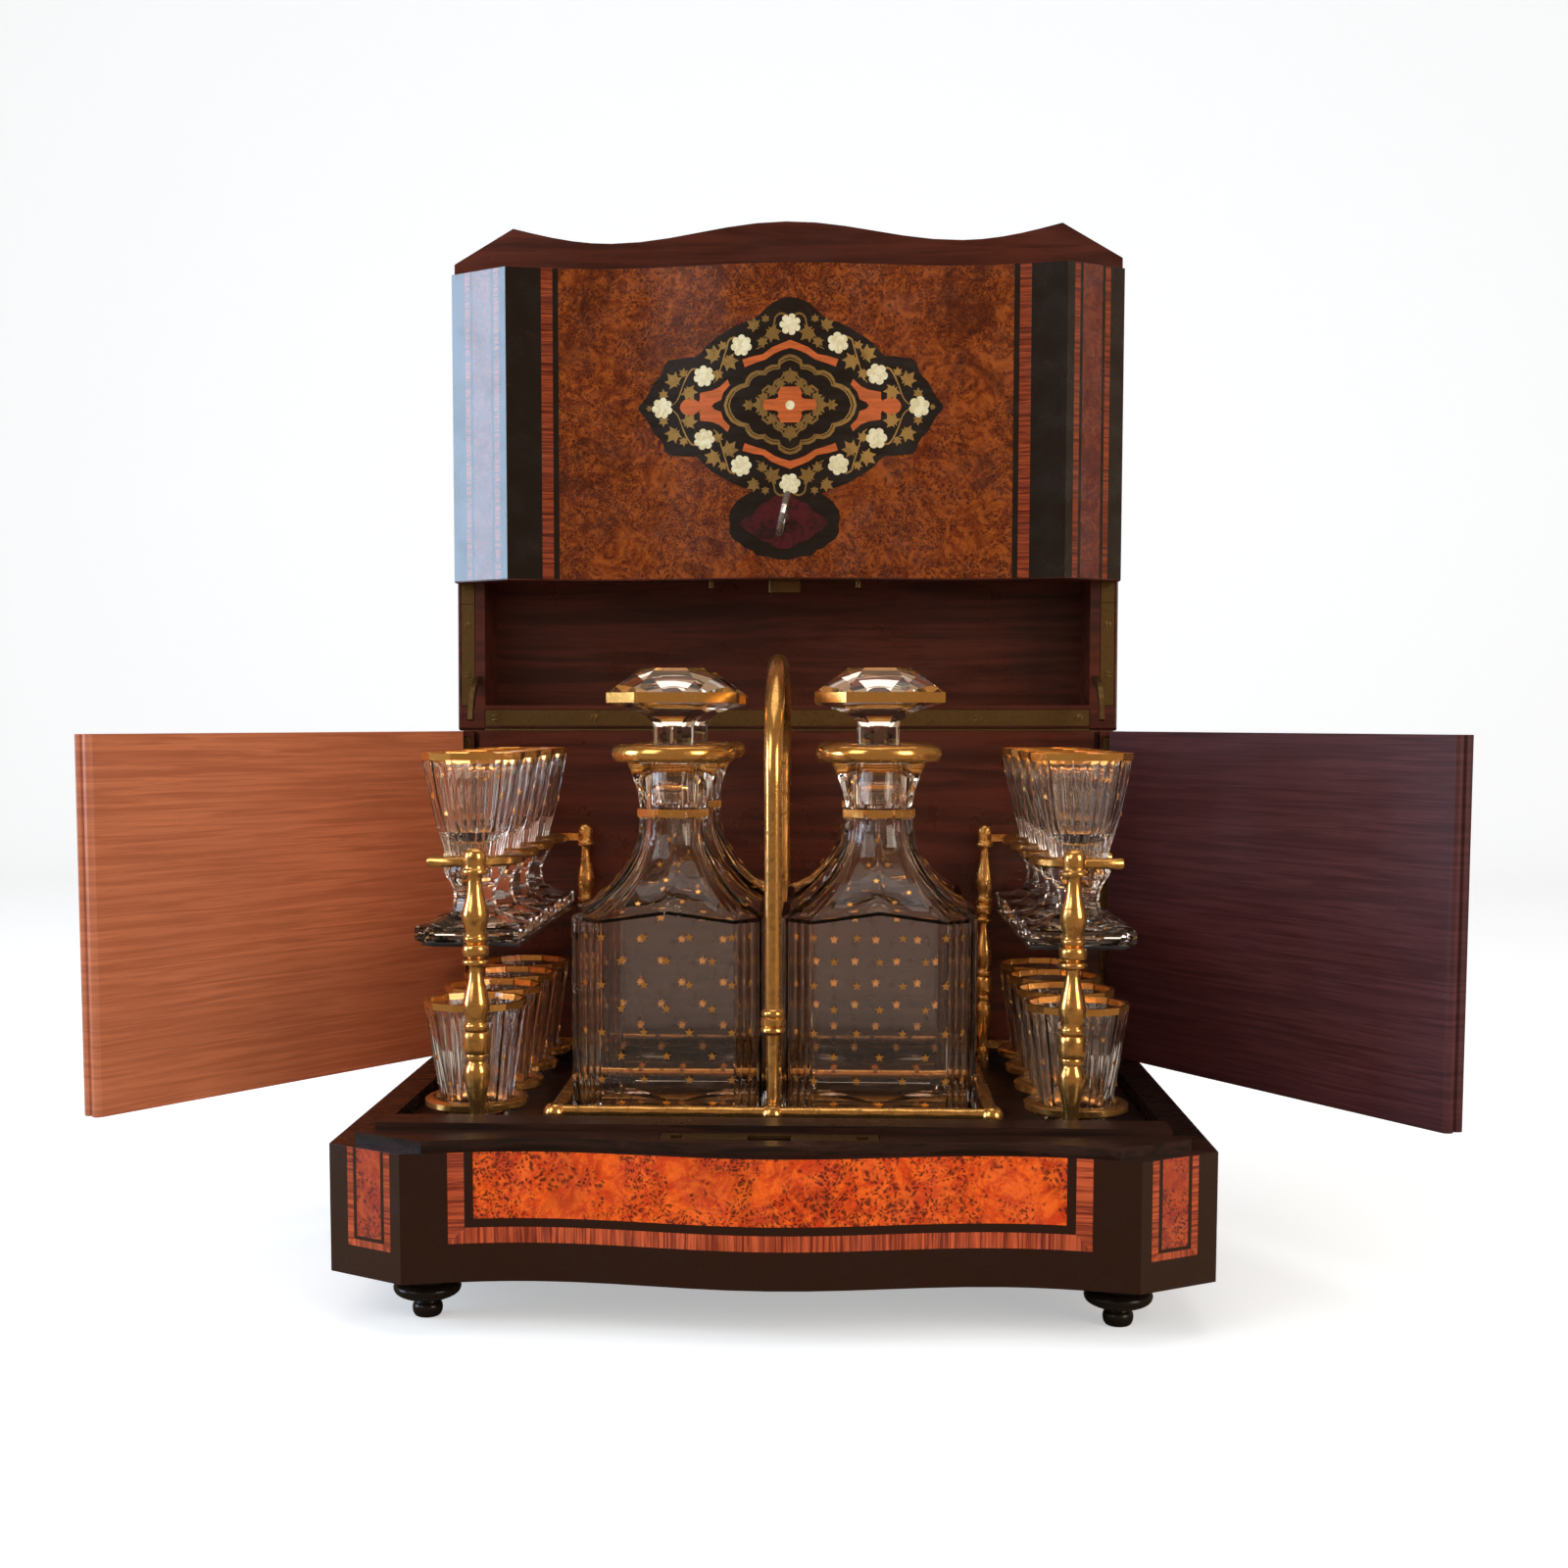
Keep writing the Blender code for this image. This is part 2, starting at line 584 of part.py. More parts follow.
def make_door(root, name, side, opened):
    """A side of the cabinet, hung at its outer rear corner and reeded along its front edge."""
    axis = empty(name + "_axis", root, (side * PANEL_WIDTH / 2, -HINGE_OFFSET, WALL_FOOT),
                 (0, 0, radians(side * opened)))
    reed = DOOR_THICKNESS / 4
    end = -HINGE_OFFSET - DOOR_LENGTH
    outline = [(0, -HINGE_OFFSET), (-side * DOOR_THICKNESS, -HINGE_OFFSET)]
    for centre, start, stop in ((3 * reed, 0, 1 - REED_GROOVE_SHARE), (reed, REED_GROOVE_SHARE, 1)):
        for i in range(REED_STEPS + 1):
            angle = pi * (start + (stop - start) * i / REED_STEPS)
            outline.append((-side * (centre + reed * cos(angle)), end + reed - reed * sin(angle)))
    door = prism(name, axis, outline, 0, DOOR_HEIGHT)
    low, high = STRIP_END_MARGIN, DOOR_HEIGHT - STRIP_END_MARGIN
    margin = (DOOR_THICKNESS - DOOR_STRIP_WIDTH) / 2
    near, far = sorted((-side * margin, -side * (DOOR_THICKNESS - margin)))
    cut(door, block("leaf_seat", axis, (near - SEAT, -HINGE_OFFSET - BRASS - SEAT, low - SEAT),
                    (far + SEAT, OVERRUN, high + SEAT)))
    finish(door, "mahogany")
    finish(block(name + "_leaf", axis, (near, -HINGE_OFFSET - BRASS, low), (far, -HINGE_OFFSET, high)), "brass")


def make_lid(root):
    """The tray of the lid in its closed frame: X along the hinge, -Y to the front, rim at Z nought."""
    pin_axis = empty("lid_pin_axis", root, LID_AXIS, (radians(-90 - LID_LEAN), 0, 0))
    half = LID_WIDTH / 2
    finish(rod("lid_hinge_pin", pin_axis, (-LID_HINGE_LENGTH / 2, 0, 0), (LID_HINGE_LENGTH / 2, 0, 0),
               PIN_RADIUS), "brass")
    axis = empty("lid_axis", pin_axis)
    sizes = (half, FRONT_CANT, FRONT_SIDE_DEPTH, FRONT_CORNER_DEPTH, FRONT_TROUGH_DEPTH, FRONT_BOW_DEPTH)
    outline = front(*sizes, -FLAP_REACH)
    tray = prism("lid_tray", axis, [(-half, 0), (half, 0)] + outline, 0, LID_HEIGHT)
    bevelled(tray, LID_EDGE_ROUND)
    bead = prism("lid_bead", axis, [(-half, -FLAP_REACH), (half, -FLAP_REACH)] + outline, -BEAD_DROP,
                 LID_EDGE_ROUND + FUSE)
    join(tray, bead)
    inner = half - LID_RIM
    strip_far = half - LID_STRIP_EDGE
    strip_near = strip_far - LID_STRIP_WIDTH
    strip_start = -(LID_HINGE_MARGIN + LID_HINGE_WIDTH + LID_HINGE_MARGIN)
    strip_end = -FLAP_REACH + LID_HINGE_MARGIN
    hinge_low = (-LID_HINGE_LENGTH / 2, -LID_HINGE_MARGIN - LID_HINGE_WIDTH, 0)
    hinge_high = (LID_HINGE_LENGTH / 2, -LID_HINGE_MARGIN, BRASS)
    grow = Vector((SEAT, SEAT, SEAT))
    cutting = [
        block("lid_recess", axis, (-inner, -FLAP_REACH + LID_FRONT_RAIL, -OVERRUN),
              (inner, -LID_REAR_RAIL, LID_RECESS)),
        rod("lid_groove", axis, (-half - OVERRUN, 0, 0), (half + OVERRUN, 0, 0), PIN_RADIUS + SEAT),
        block("hinge_seat", axis, Vector(hinge_low) - grow - Vector((0, 0, OVERRUN)), Vector(hinge_high) + grow),
    ]
    finish(block("lid_hinge_strip", axis, hinge_low, hinge_high), "brass")
    for side, name in ((-1, "left"), (1, "right")):
        near, far = sorted((side * strip_near, side * strip_far))
        cutting.append(block("side_seat", axis, (near - SEAT, strip_end - SEAT, -OVERRUN),
                             (far + SEAT, strip_start + SEAT, BRASS + SEAT)))
        strip = block("lid_side_strip_" + name, axis, (near, strip_end, 0), (far, strip_start, BRASS))
        cut(strip, block("strip_joint", axis, (near - OVERRUN, -LID_STRIP_JOINT - JOINT_CUT, -OVERRUN),
                         (far + OVERRUN, -LID_STRIP_JOINT, BRASS / 2)))
        finish(strip, "brass")
        low, high = stay_sides(side)
        stay = []
        for radius, turns in ((STAY_OUTER_RADIUS, range(11)), (STAY_INNER_RADIUS, range(10, -1, -1))):
            start = SEAT / radius
            stay += [(-radius * cos(start + (radians(STAY_SWEEP) - start) * i / 10),
                      -radius * sin(start + (radians(STAY_SWEEP) - start) * i / 10)) for i in turns]
        lengthwise = Matrix(((0, 0, 1, 0), (1, 0, 0, 0), (0, 1, 0, 0), (0, 0, 0, 1)))
        finish(smooth(prism("lid_stay_" + name, axis, stay, low, high, lengthwise)), "brass")
    cut(tray, *cutting)
    finish(tray, "burl")
    return axis


def make_flap(lid):
    """The drop front, hung from the lid at its top rear edge, with lock and key."""
    axis = empty("flap_axis", lid, (0, -FLAP_REACH, -FLAP_DROP), (radians(FLAP_FOLD), 0, 0))
    half = LID_WIDTH / 2
    sizes = (half, FRONT_CANT, FRONT_SIDE_DEPTH, FRONT_CORNER_DEPTH, FRONT_TROUGH_DEPTH, FRONT_BOW_DEPTH)
    flap = prism("flap_panel", axis, [(-half, 0), (half, 0)] + front(*sizes, 0), -FLAP_HEIGHT, 0)
    bottom = Vector((0, LOCK_Y, -FLAP_HEIGHT))
    plate_half = Vector((LOCK_LENGTH, LOCK_WIDTH, 0)) / 2
    grow = Vector((SEAT, SEAT, SEAT))
    bolt_half = Vector((BOLT_WIDTH, BOLT_THICKNESS, 0)) / 2
    room = Vector((RUN, RUN, 0))
    up = Vector((0, 0, 1))
    key_z = -FLAP_HEIGHT + KEY_HEIGHT
    face = -FRONT_BOW_DEPTH
    cut(flap,
        block("lock_seat", axis, bottom - plate_half - grow - OVERRUN * up, bottom + plate_half + grow + BRASS * up),
        block("bolt_pocket", axis, bottom - bolt_half - room - OVERRUN * up,
              bottom + bolt_half + room + (BOLT_BODY + BOLT_THROW + RUN) * up),
        rod("keyhole", axis, (0, face - OVERRUN, key_z), (0, face + KEY_BIT_DEPTH + RUN, key_z),
            KEY_SHAFT_RADIUS + RUN))
    finish(flap, "burl")
    plate = block("lock_plate", axis, bottom - plate_half, bottom + plate_half + BRASS * up)
    cut(plate, block("bolt_window", axis, bottom - bolt_half - room - OVERRUN * up,
                     bottom + bolt_half + room + (BRASS + OVERRUN) * up))
    join(plate, *[rod("steady_pin", axis, (x, LOCK_Y, -FLAP_HEIGHT - STEADY_LENGTH),
                      (x, LOCK_Y, -FLAP_HEIGHT + BRASS / 2), STEADY_RADIUS)
                  for x in (-STEADY_SPREAD, STEADY_SPREAD)])
    finish(plate, "brass")
    bolt = empty("bolt_slide", axis, bottom)
    hook = block("lock_bolt", bolt, -bolt_half - BOLT_THROW * up, bolt_half + BOLT_BODY * up)
    finish(bevelled(hook, BOLT_THICKNESS / 8, 1), "brass")
    key = empty("key_axis", axis, (0, face, key_z), (0, radians(12), 0))
    shaft_end = -KEY_SHAFT_LENGTH
    shaft = tube("key", key, [(0, KEY_BIT_DEPTH, 0), (0, 0, 0), (0, shaft_end * 0.55, 0), (0, shaft_end * 0.62, 0),
                              (0, shaft_end * 0.7, 0), (0, shaft_end - KEY_BOW_RADIUS, 0)], KEY_SHAFT_RADIUS,
                 (0.9, 0.9, 0.9, 1.25, 0.9, 0.75))
    middle = shaft_end - KEY_BOW_LENGTH / 2
    bow = [(0, middle + KEY_BOW_LENGTH / 2 * cos(tau * i / 16), KEY_BOW_WIDTH / 2 * sin(tau * i / 16))
           for i in range(16)]
    join(shaft, tube("key_bow", key, bow, KEY_BOW_RADIUS, closed=True))
    finish(smooth(shaft), "brass")


def make_rack(root):
    """The lifting rack: rope-work fence round the decanters, handle over them, a glass stand each side."""
    rack = empty("rack_lift", root, (0, 0, RACK_FLOOR))
    middle = (FRONT_ROD + REAR_ROD) / 2
    cross = (FRONT_ROW + REAR_ROW) / 2
    corners = [(x, y) for x in (-SIDE_ROD, 0, SIDE_ROD) for y in (FRONT_ROD, REAR_ROD)] + [(0, cross)]
    reach = REAR_POST_SPREAD - POST_RADIUS - SEAT
    frame = rod("decanter_frame", rack, (-SIDE_ROD, FRONT_ROD, ROD_HEIGHT), (SIDE_ROD, FRONT_ROD, ROD_HEIGHT),
                ROD_RADIUS, 8)
    bars = [rod("rear_rod", rack, (-reach, REAR_ROD, ROD_HEIGHT), (reach, REAR_ROD, ROD_HEIGHT), ROD_RADIUS, 8),
            rod("cross_rod", rack, (FUSE - SIDE_ROD, cross, ROD_HEIGHT), (SIDE_ROD - FUSE, cross, ROD_HEIGHT),
                INNER_ROD_RADIUS, 8)]
    for x, radius in ((-SIDE_ROD, SIDE_ROD_RADIUS), (0, INNER_ROD_RADIUS), (SIDE_ROD, SIDE_ROD_RADIUS)):
        bars.append(rod("side_rod", rack, (x, FRONT_ROD + FUSE, ROD_HEIGHT), (x, REAR_ROD - FUSE, ROD_HEIGHT),
                        radius, 7))
    for x, y in corners:
        bars.append(ball("knob", rack, (x, y, ROD_HEIGHT), KNOB_RADIUS))
        bars.append(rod("rack_foot", rack, (x, y, 0), (x, y, ROD_HEIGHT - FUSE), RACK_FOOT_RADIUS, 6))
    boolean(frame, bars, "UNION", "MANIFOLD")
    finish(frame, "gilt")
    make_handle(rack, middle)
    for side, word in ((-1, "left"), (1, "right")):
        make_stand(rack, side, word)
    return rack


def make_handle(rack, middle):
    """A round bar that rises between the decanters in front, arches over them and comes down behind."""
    start = FRONT_ROW - DECANTER_WIDTH / 2 + HANDLE_INSET
    half_span = middle - start
    foot = ROD_HEIGHT + INNER_ROD_RADIUS + SEAT
    top = LID_PLANE + LID_RECESS - HANDLE_TOP_GAP - HANDLE_RADIUS - RACK_FLOOR
    spring = top * HANDLE_SPRING_SHARE
    ferrule = foot + (spring - foot) / 4
    step = HANDLE_RADIUS
    climb = [(foot, 0.7), (ferrule - step, 0.7), (ferrule, 1.45), (ferrule + step, 1.45), (ferrule + 2 * step, 1.1),
             (ferrule + 3 * step, 0.95), (spring, 1.0)]
    points = [(0, start, z) for z, _ in climb]
    shares = [share for _, share in climb]
    for turn in HANDLE_ARCH_SHARES[1:]:
        angle = pi * turn
        points.append((0, middle - half_span * cos(angle) ** 0.8 if turn < 0.5 else middle,
                       spring + (top - spring) * sin(angle)))
        shares.append(1.12)
    mirrored = [(x, 2 * middle - y, z) for x, y, z in reversed(points[:-1])]
    handle = tube("carrying_handle", rack, points + mirrored, HANDLE_RADIUS, shares + shares[-2::-1])
    finish(smooth(handle), "gilt")


def make_stand(rack, side, word):
    """Two baluster posts with a ringed plate low down for the tumblers and a notched one for the stems."""
    rows = glass_rows()
    x, rear_x = side * POST_SPREAD, side * REAR_POST_SPREAD
    outline = profile(POST_SHARES, POST_RADIUS, POST_HEIGHT)
    stand = turned("glass_stand_" + word, rack, outline, 10)
    stand.data.transform(Matrix.Translation((rear_x, REAR_ROD, 0)))
    other = turned("front_post", rack, outline, 10)
    other.data.transform(Matrix.Translation((x, STAND_FRONT, 0)))
    added, removed = [other], []
    centre = side * GLASS_SPREAD
    for height, hole in ((LOWER_RING_HEIGHT, LOWER_RING_RADIUS), (UPPER_RING_HEIGHT, UPPER_RING_RADIUS)):
        low, high = height, height + RING_THICKNESS
        added.append(block("plate_bar", rack, (x - RING_BAR / 2, STAND_FRONT, low + RING_THICKNESS / 8),
                           (x + RING_BAR / 2, REAR_ROD, high - RING_THICKNESS / 8)))
        near, far = sorted((rear_x, x + side * RING_BAR / 4))
        added.append(block("plate_end", rack, (near, REAR_ROD - RING_BAR / 3, low + RING_THICKNESS / 5),
                           (far, REAR_ROD + RING_BAR / 3, high - RING_THICKNESS / 5)))
        for y in rows:
            added.append(rod("ring", rack, (centre, y, low), (centre, y, high), hole + RING_WIDTH, 16))
            removed.append(rod("ring_hole", rack, (centre, y, low - OVERRUN), (centre, y, high + OVERRUN), hole, 16))
    low, high = UPPER_RING_HEIGHT - OVERRUN, UPPER_RING_HEIGHT + RING_THICKNESS + OVERRUN
    for y in rows:
        near, far = sorted((centre, side * (GLASS_SPREAD + UPPER_RING_RADIUS + RING_WIDTH + OVERRUN)))
        removed.append(block("notch", rack, (near, y - UPPER_RING_RADIUS * cos(pi / 16), low),
                             (far, y + UPPER_RING_RADIUS * cos(pi / 16), high)))
    join(stand, *added)
    cut(stand, *removed)
    finish(stand, "gilt")
    half = GLASS_FOOT / 2 + SHELF_MARGIN
    near, far = sorted((centre - side * half, centre + side * half))
    shelf = block("glass_shelf_" + word, rack,
                  (near, STAND_FRONT - POST_RADIUS - SHELF_MARGIN, SHELF_HEIGHT),
                  (far, REAR_ROD + POST_RADIUS + SHELF_MARGIN, SHELF_HEIGHT + SHELF_THICKNESS))
    cut(shelf, rod("post_hole", rack, (x, STAND_FRONT, SHELF_HEIGHT - OVERRUN),
                   (x, STAND_FRONT, SHELF_HEIGHT + SHELF_THICKNESS + OVERRUN), POST_RADIUS + SEAT))
    finish(shelf, "dark_wood")


def glass_rows():
    return [-REAR_GLASS - GLASS_PITCH * i for i in range(4)]


def decanter_mesh():
    """A square bottle with canted corners, drawn in to a round neck with a wide gilt collar."""
    half, cant = DECANTER_WIDTH / 2, DECANTER_CANT
    collar = DECANTER_HEIGHT - COLLAR_THICKNESS
    lip = COLLAR_THICKNESS / 3
    body = canted(half, cant, BODY_HEIGHT)
    neck = circle(NECK_RADIUS, NECK_HEIGHT)
    sections = [canted(half - WALL / 2, cant, 0), canted(half, cant, WALL / 2), body]
    for share, narrow in ((0.3, 0.45), (0.6, 0.78)):
        section = blend(body, neck, narrow)
        level = BODY_HEIGHT + (NECK_HEIGHT - BODY_HEIGHT) * share
        sections.append([Vector((p.x, p.y, level)) for p in section])
    sections += [neck, circle(NECK_RADIUS, FLARE_HEIGHT), circle(COLLAR_RADIUS - 2 * lip, collar),
                 circle(COLLAR_RADIUS, collar + lip), circle(COLLAR_RADIUS, collar + 2 * lip),
                 circle(COLLAR_RADIUS - lip, DECANTER_HEIGHT), circle(BORE_RADIUS, DECANTER_HEIGHT),
                 circle(BORE_RADIUS, NECK_HEIGHT)]
    inside = canted(half - WALL, cant, BODY_HEIGHT)
    bore = circle(BORE_RADIUS, NECK_HEIGHT)
    for share, narrow in ((0.55, 0.8), (0.2, 0.4)):
        section = blend(inside, bore, narrow)
        level = BODY_HEIGHT + (NECK_HEIGHT - BODY_HEIGHT) * share
        sections.append([Vector((p.x, p.y, level)) for p in section])
    sections += [canted(half - WALL, cant, BODY_HEIGHT - WALL), canted(half - 2 * WALL, cant / 2, 2 * WALL)]
    return loft("decanter", None, sections)


def stopper_mesh():
    """A cut stopper, canted square above and below its gilt girdle, with a round plug."""
    half, cant = STOPPER_WIDTH / 2, STOPPER_CANT
    table = STOPPER_TABLE / 2
    under = STOPPER_BAND_TOP - STOPPER_BAND
    girdle = canted(half, cant, 0)
    stem = circle(STEM_RADIUS, 0)
    top = BORE_RADIUS - RUN
    sections = [circle(top - RUN, -PLUG_LENGTH), circle(top, 0), circle(STEM_RADIUS, SEAT)]
    for level, wide in ((0.2, 0.0), (0.55, 0.15), (0.8, 0.45)):
        sections.append([Vector((p.x, p.y, under * level)) for p in blend(stem, girdle, wide)])
    sections += [canted(half, cant, under), canted(half, cant, STOPPER_BAND_TOP),
                 canted(table, table / 2, STOPPER_HEIGHT)]
    return loft("stopper", None, sections)


def stemmed_mesh():
    """A liqueur glass with a square foot, short stem and twelve-sided bowl."""
    rim = GLASS_RADIUS - GLASS_WALL
    outline = profile(STEM_SHARES, GLASS_RADIUS, GLASS_HEIGHT)
    outline += [(rim, GLASS_HEIGHT)] + profile(BOWL_SHARES, rim, GLASS_HEIGHT)
    glass = turned("stemmed", None, outline, GLASS_STEPS)
    half = GLASS_FOOT / 2
    foot = loft("foot_block", None, [canted(half - GLASS_WALL / 2, GLASS_WALL, 0),
                                     canted(half, GLASS_WALL, GLASS_WALL),
                                     canted(half, GLASS_WALL, GLASS_FOOT_HEIGHT - GLASS_WALL),
                                     canted(half * 0.74, half * 0.2, GLASS_FOOT_HEIGHT)])
    return join(glass, foot)


def tumbler_mesh():
    """A small tapered tumbler of twelve sides with a heavy base."""
    rim = TUMBLER_RADIUS - GLASS_WALL
    floor = TUMBLER_HEIGHT * TUMBLER_BASE_SHARE
    outline = profile(TUMBLER_SHARES, TUMBLER_FOOT_RADIUS, TUMBLER_HEIGHT)
    outline += [(rim, TUMBLER_HEIGHT), (TUMBLER_FOOT_RADIUS - GLASS_WALL / 2, floor), (0, floor)]
    return turned("tumbler", None, outline, GLASS_STEPS)


def shared(obj, finish_name):
    """The object's mesh, for pieces that share it; the object goes."""
    helpers = [modifier.object for modifier in obj.modifiers]
    mesh = baked(obj)
    for helper in helpers:
        bpy.data.objects.remove(helper)
    mesh.shade_smooth()
    mesh.set_sharp_from_angle(angle=radians(20))
    mesh.materials.clear()
    mesh.materials.append(material(finish_name))
    return mesh


def make_vessels(rack):
    """Four decanters with their stoppers, eight stemmed glasses and eight tumblers."""
    decanter, stopper = shared(decanter_mesh(), "crystal"), shared(stopper_mesh(), "crystal")
    stemmed, tumbler = shared(stemmed_mesh(), "crystal"), shared(tumbler_mesh(), "crystal")
    for side, word in ((-1, "left"), (1, "right")):
        for y, row in ((FRONT_ROW, "front"), (REAR_ROW, "rear")):
            bottle = piece(f"decanter_{row}_{word}", decanter, rack, (side * DECANTER_X, y, 0))
            piece(f"stopper_{row}_{word}", stopper, bottle, (0, 0, DECANTER_HEIGHT))
        for number, y in enumerate(glass_rows(), 1):
            piece(f"stemmed_glass_{word}_{number}", stemmed, rack,
                  (side * GLASS_SPREAD, y, SHELF_HEIGHT + SHELF_THICKNESS + SEAT))
            piece(f"tumbler_{word}_{number}", tumbler, rack, (side * GLASS_SPREAD, y, 0))


def centre_on_floor(root):
    """Moves the cabinet so that its box at rest stands on the origin."""
    bpy.context.view_layer.update()
    graph = bpy.context.evaluated_depsgraph_get()
    points = [obj.matrix_world @ vertex.co for obj in cabinet.objects if obj.type == "MESH"
              for vertex in obj.evaluated_get(graph).data.vertices]
    low = [min(point[i] for point in points) for i in range(2)]
    high = [max(point[i] for point in points) for i in range(2)]
    root.location = (-(low[0] + high[0]) / 2, -(low[1] + high[1]) / 2, 0)
    bpy.context.view_layer.update()
    return root.location


for old in list(bpy.data.objects):
    bpy.data.objects.remove(old)
cabinet = bpy.data.collections.new("liqueur_cabinet")
cutters = bpy.data.collections.new("cutters")
for collection in (cabinet, cutters):
    bpy.context.scene.collection.children.link(collection)

cabinet_root = empty("cabinet_root", None)
make_base(cabinet_root)
make_back(cabinet_root)
make_door(cabinet_root, "left_door", -1, LEFT_DOOR_OPEN)
make_door(cabinet_root, "right_door", 1, RIGHT_DOOR_OPEN)
make_flap(make_lid(cabinet_root))
make_vessels(make_rack(cabinet_root))
place = centre_on_floor(cabinet_root)
print("root moved by", [round(value, 6) for value in place])
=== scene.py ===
"""Looks for the liqueur cabinet: veneers, brass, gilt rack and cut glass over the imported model. Metres."""

import json
from math import cos, pi, radians, sin, tau

import bmesh
import bpy
import numpy as np
from bpy.props import FloatProperty, FloatVectorProperty, IntProperty, PointerProperty
from mathutils import Matrix, Vector


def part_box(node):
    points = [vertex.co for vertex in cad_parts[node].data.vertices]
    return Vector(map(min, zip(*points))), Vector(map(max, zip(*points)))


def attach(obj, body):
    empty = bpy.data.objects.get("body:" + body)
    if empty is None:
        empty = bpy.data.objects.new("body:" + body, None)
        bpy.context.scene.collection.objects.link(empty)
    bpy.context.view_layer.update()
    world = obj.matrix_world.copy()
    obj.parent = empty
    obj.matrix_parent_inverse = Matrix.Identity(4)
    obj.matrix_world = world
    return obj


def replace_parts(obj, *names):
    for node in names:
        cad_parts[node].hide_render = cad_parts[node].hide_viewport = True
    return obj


bl_info = {
    "name": "Liqueur Cabinet",
    "version": (1, 0, 0),
    "blender": (4, 5, 0),
    "location": "View3D > Sidebar > Cabinet",
    "description": "Dresses a serpentine liqueur cabinet with its veneers, brass and glass",
    "category": "Object",
}

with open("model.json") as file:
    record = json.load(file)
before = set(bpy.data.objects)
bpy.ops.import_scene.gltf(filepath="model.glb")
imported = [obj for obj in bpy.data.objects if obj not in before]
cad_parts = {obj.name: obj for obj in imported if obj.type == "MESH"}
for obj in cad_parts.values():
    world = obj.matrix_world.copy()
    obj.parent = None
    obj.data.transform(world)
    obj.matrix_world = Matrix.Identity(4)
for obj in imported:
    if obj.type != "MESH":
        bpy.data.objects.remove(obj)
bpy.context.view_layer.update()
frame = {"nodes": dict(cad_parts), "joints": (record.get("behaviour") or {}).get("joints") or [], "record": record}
NODES = frame["nodes"]
JOINTS = {joint["name"]: joint for joint in frame["joints"]}
CENTRE_X = sum(corner[0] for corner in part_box("back_panel")) / 2
FLAP_AXIS = Vector(JOINTS["flap_hinge"]["pos_m"])
LID_AXIS = Vector(JOINTS["lid_hinge"]["pos_m"])
SIDES = (("left", -1), ("right", 1))
CORNERS = [f"{row}_{side}" for row in ("front", "rear") for side in ("left", "right")]
GLASSES = [f"{side}_{number}" for side in ("left", "right") for number in range(1, 5)]

# Serpentine front: half width, canted corner's width, depths at the side, corner, hollow and bow
FRONT_SIZES = (0.157, 0.028, 0.0065, 0.023, 0.0155, 0.025)
BASE_SIZES = (0.165, 0.0304, 0.0075, 0.0255, 0.018, 0.0275)
TROUGH_SHARE = 0.64
INLAY_DEPTH = 0.0002
LID_SLOPE = 0.0349
# From the lid's hinge line to the straight line that the front's depths are measured from
FRONT_DEPTH = 0.2133
FLAP_TILT = Matrix.Translation(FLAP_AXIS) @ Matrix.Rotation(radians(-0.6), 4, "X")
LID_TILT = Matrix.Translation(LID_AXIS) @ Matrix.Rotation(radians(-92.0), 4, "X")


def colour(name, description, default):
    return FloatVectorProperty(name=name, description=description, default=default, subtype="COLOR",
                               size=3, min=0, max=1)


def length(name, description, default):
    return FloatProperty(name=name, description=description, default=default, unit="LENGTH", precision=5)


def share(name, description, default):
    return FloatProperty(name=name, description=description, default=default, min=0, max=1, subtype="FACTOR")


class VeneerSettings(bpy.types.PropertyGroup):
    """Colours of the cabinet's woods and the thickness of its face veneers"""
    burl_light: colour("Burl light", "Lightest wave of the burl veneer", (0.31, 0.066, 0.008))
    burl_middle: colour("Burl middle", "Main colour of the burl veneer", (0.135, 0.020, 0.003))
    burl_dark: colour("Burl dark", "Dark eyes and clouds of the burl veneer", (0.036, 0.005, 0.002))
    # The base burl is redder and brighter than the drop front's burl: its extra brightness is painted sunlight on
    # the base front, its redder hue the wood's own.
    base_sunlit_light: colour("Base burl light", "Lightest wave of the base's redder burl", (0.95, 0.135, 0.008))
    base_sunlit_middle: colour("Base burl middle", "Main colour of the base's redder burl", (0.62, 0.045, 0.004))
    tulip_light: colour("Crossband light", "Ground of the crossbanding", (0.62, 0.105, 0.030))
    tulip_dark: colour("Crossband dark", "Streaks of the crossbanding", (0.14, 0.016, 0.007))
    ebony: colour("Ebonised", "Blackened wood", (0.011, 0.006, 0.004))
    mahogany: colour("Mahogany", "Main colour of the dark mahogany", (0.080, 0.014, 0.006))
    thickness: length("Veneer proud", "Height of the face veneer over the solid wood", 0.00028)


class MetalSettings(bpy.types.PropertyGroup):
    """Colours of the brass fittings and the gilt rack"""
    brass: colour("Aged brass", "Main colour of the hinges and strips", (0.17, 0.100, 0.036))
    gilt: colour("Gilding", "Main colour of the rack and handle", (0.86, 0.47, 0.14))
    worn: colour("Worn gilding", "Colour where the gilding has dulled", (0.20, 0.095, 0.026))
    screw_radius: length("Screw head", "Radius of a slotted screw head", 0.0019)


class GlassSettings(bpy.types.PropertyGroup):
    """Cut glass of the decanters and glasses"""
    # The glass's own slight tint, warmed further as a painted reflection of the mahogany round it.
    tint: colour("Glass tint", "Colour of light through the glass", (0.98, 0.91, 0.86))
    flute_depth: length("Flute depth", "Depth of the cut flutes", 0.00045)
    star_radius: length("Star radius", "Radius of a gilt star", 0.0019)
    band_height: length("Rim band", "Height of the gilt band at a glass's rim", 0.0027)
    star_points: IntProperty(name="Star points", description="Points of a gilt star", default=5, min=3,
                             max=8)


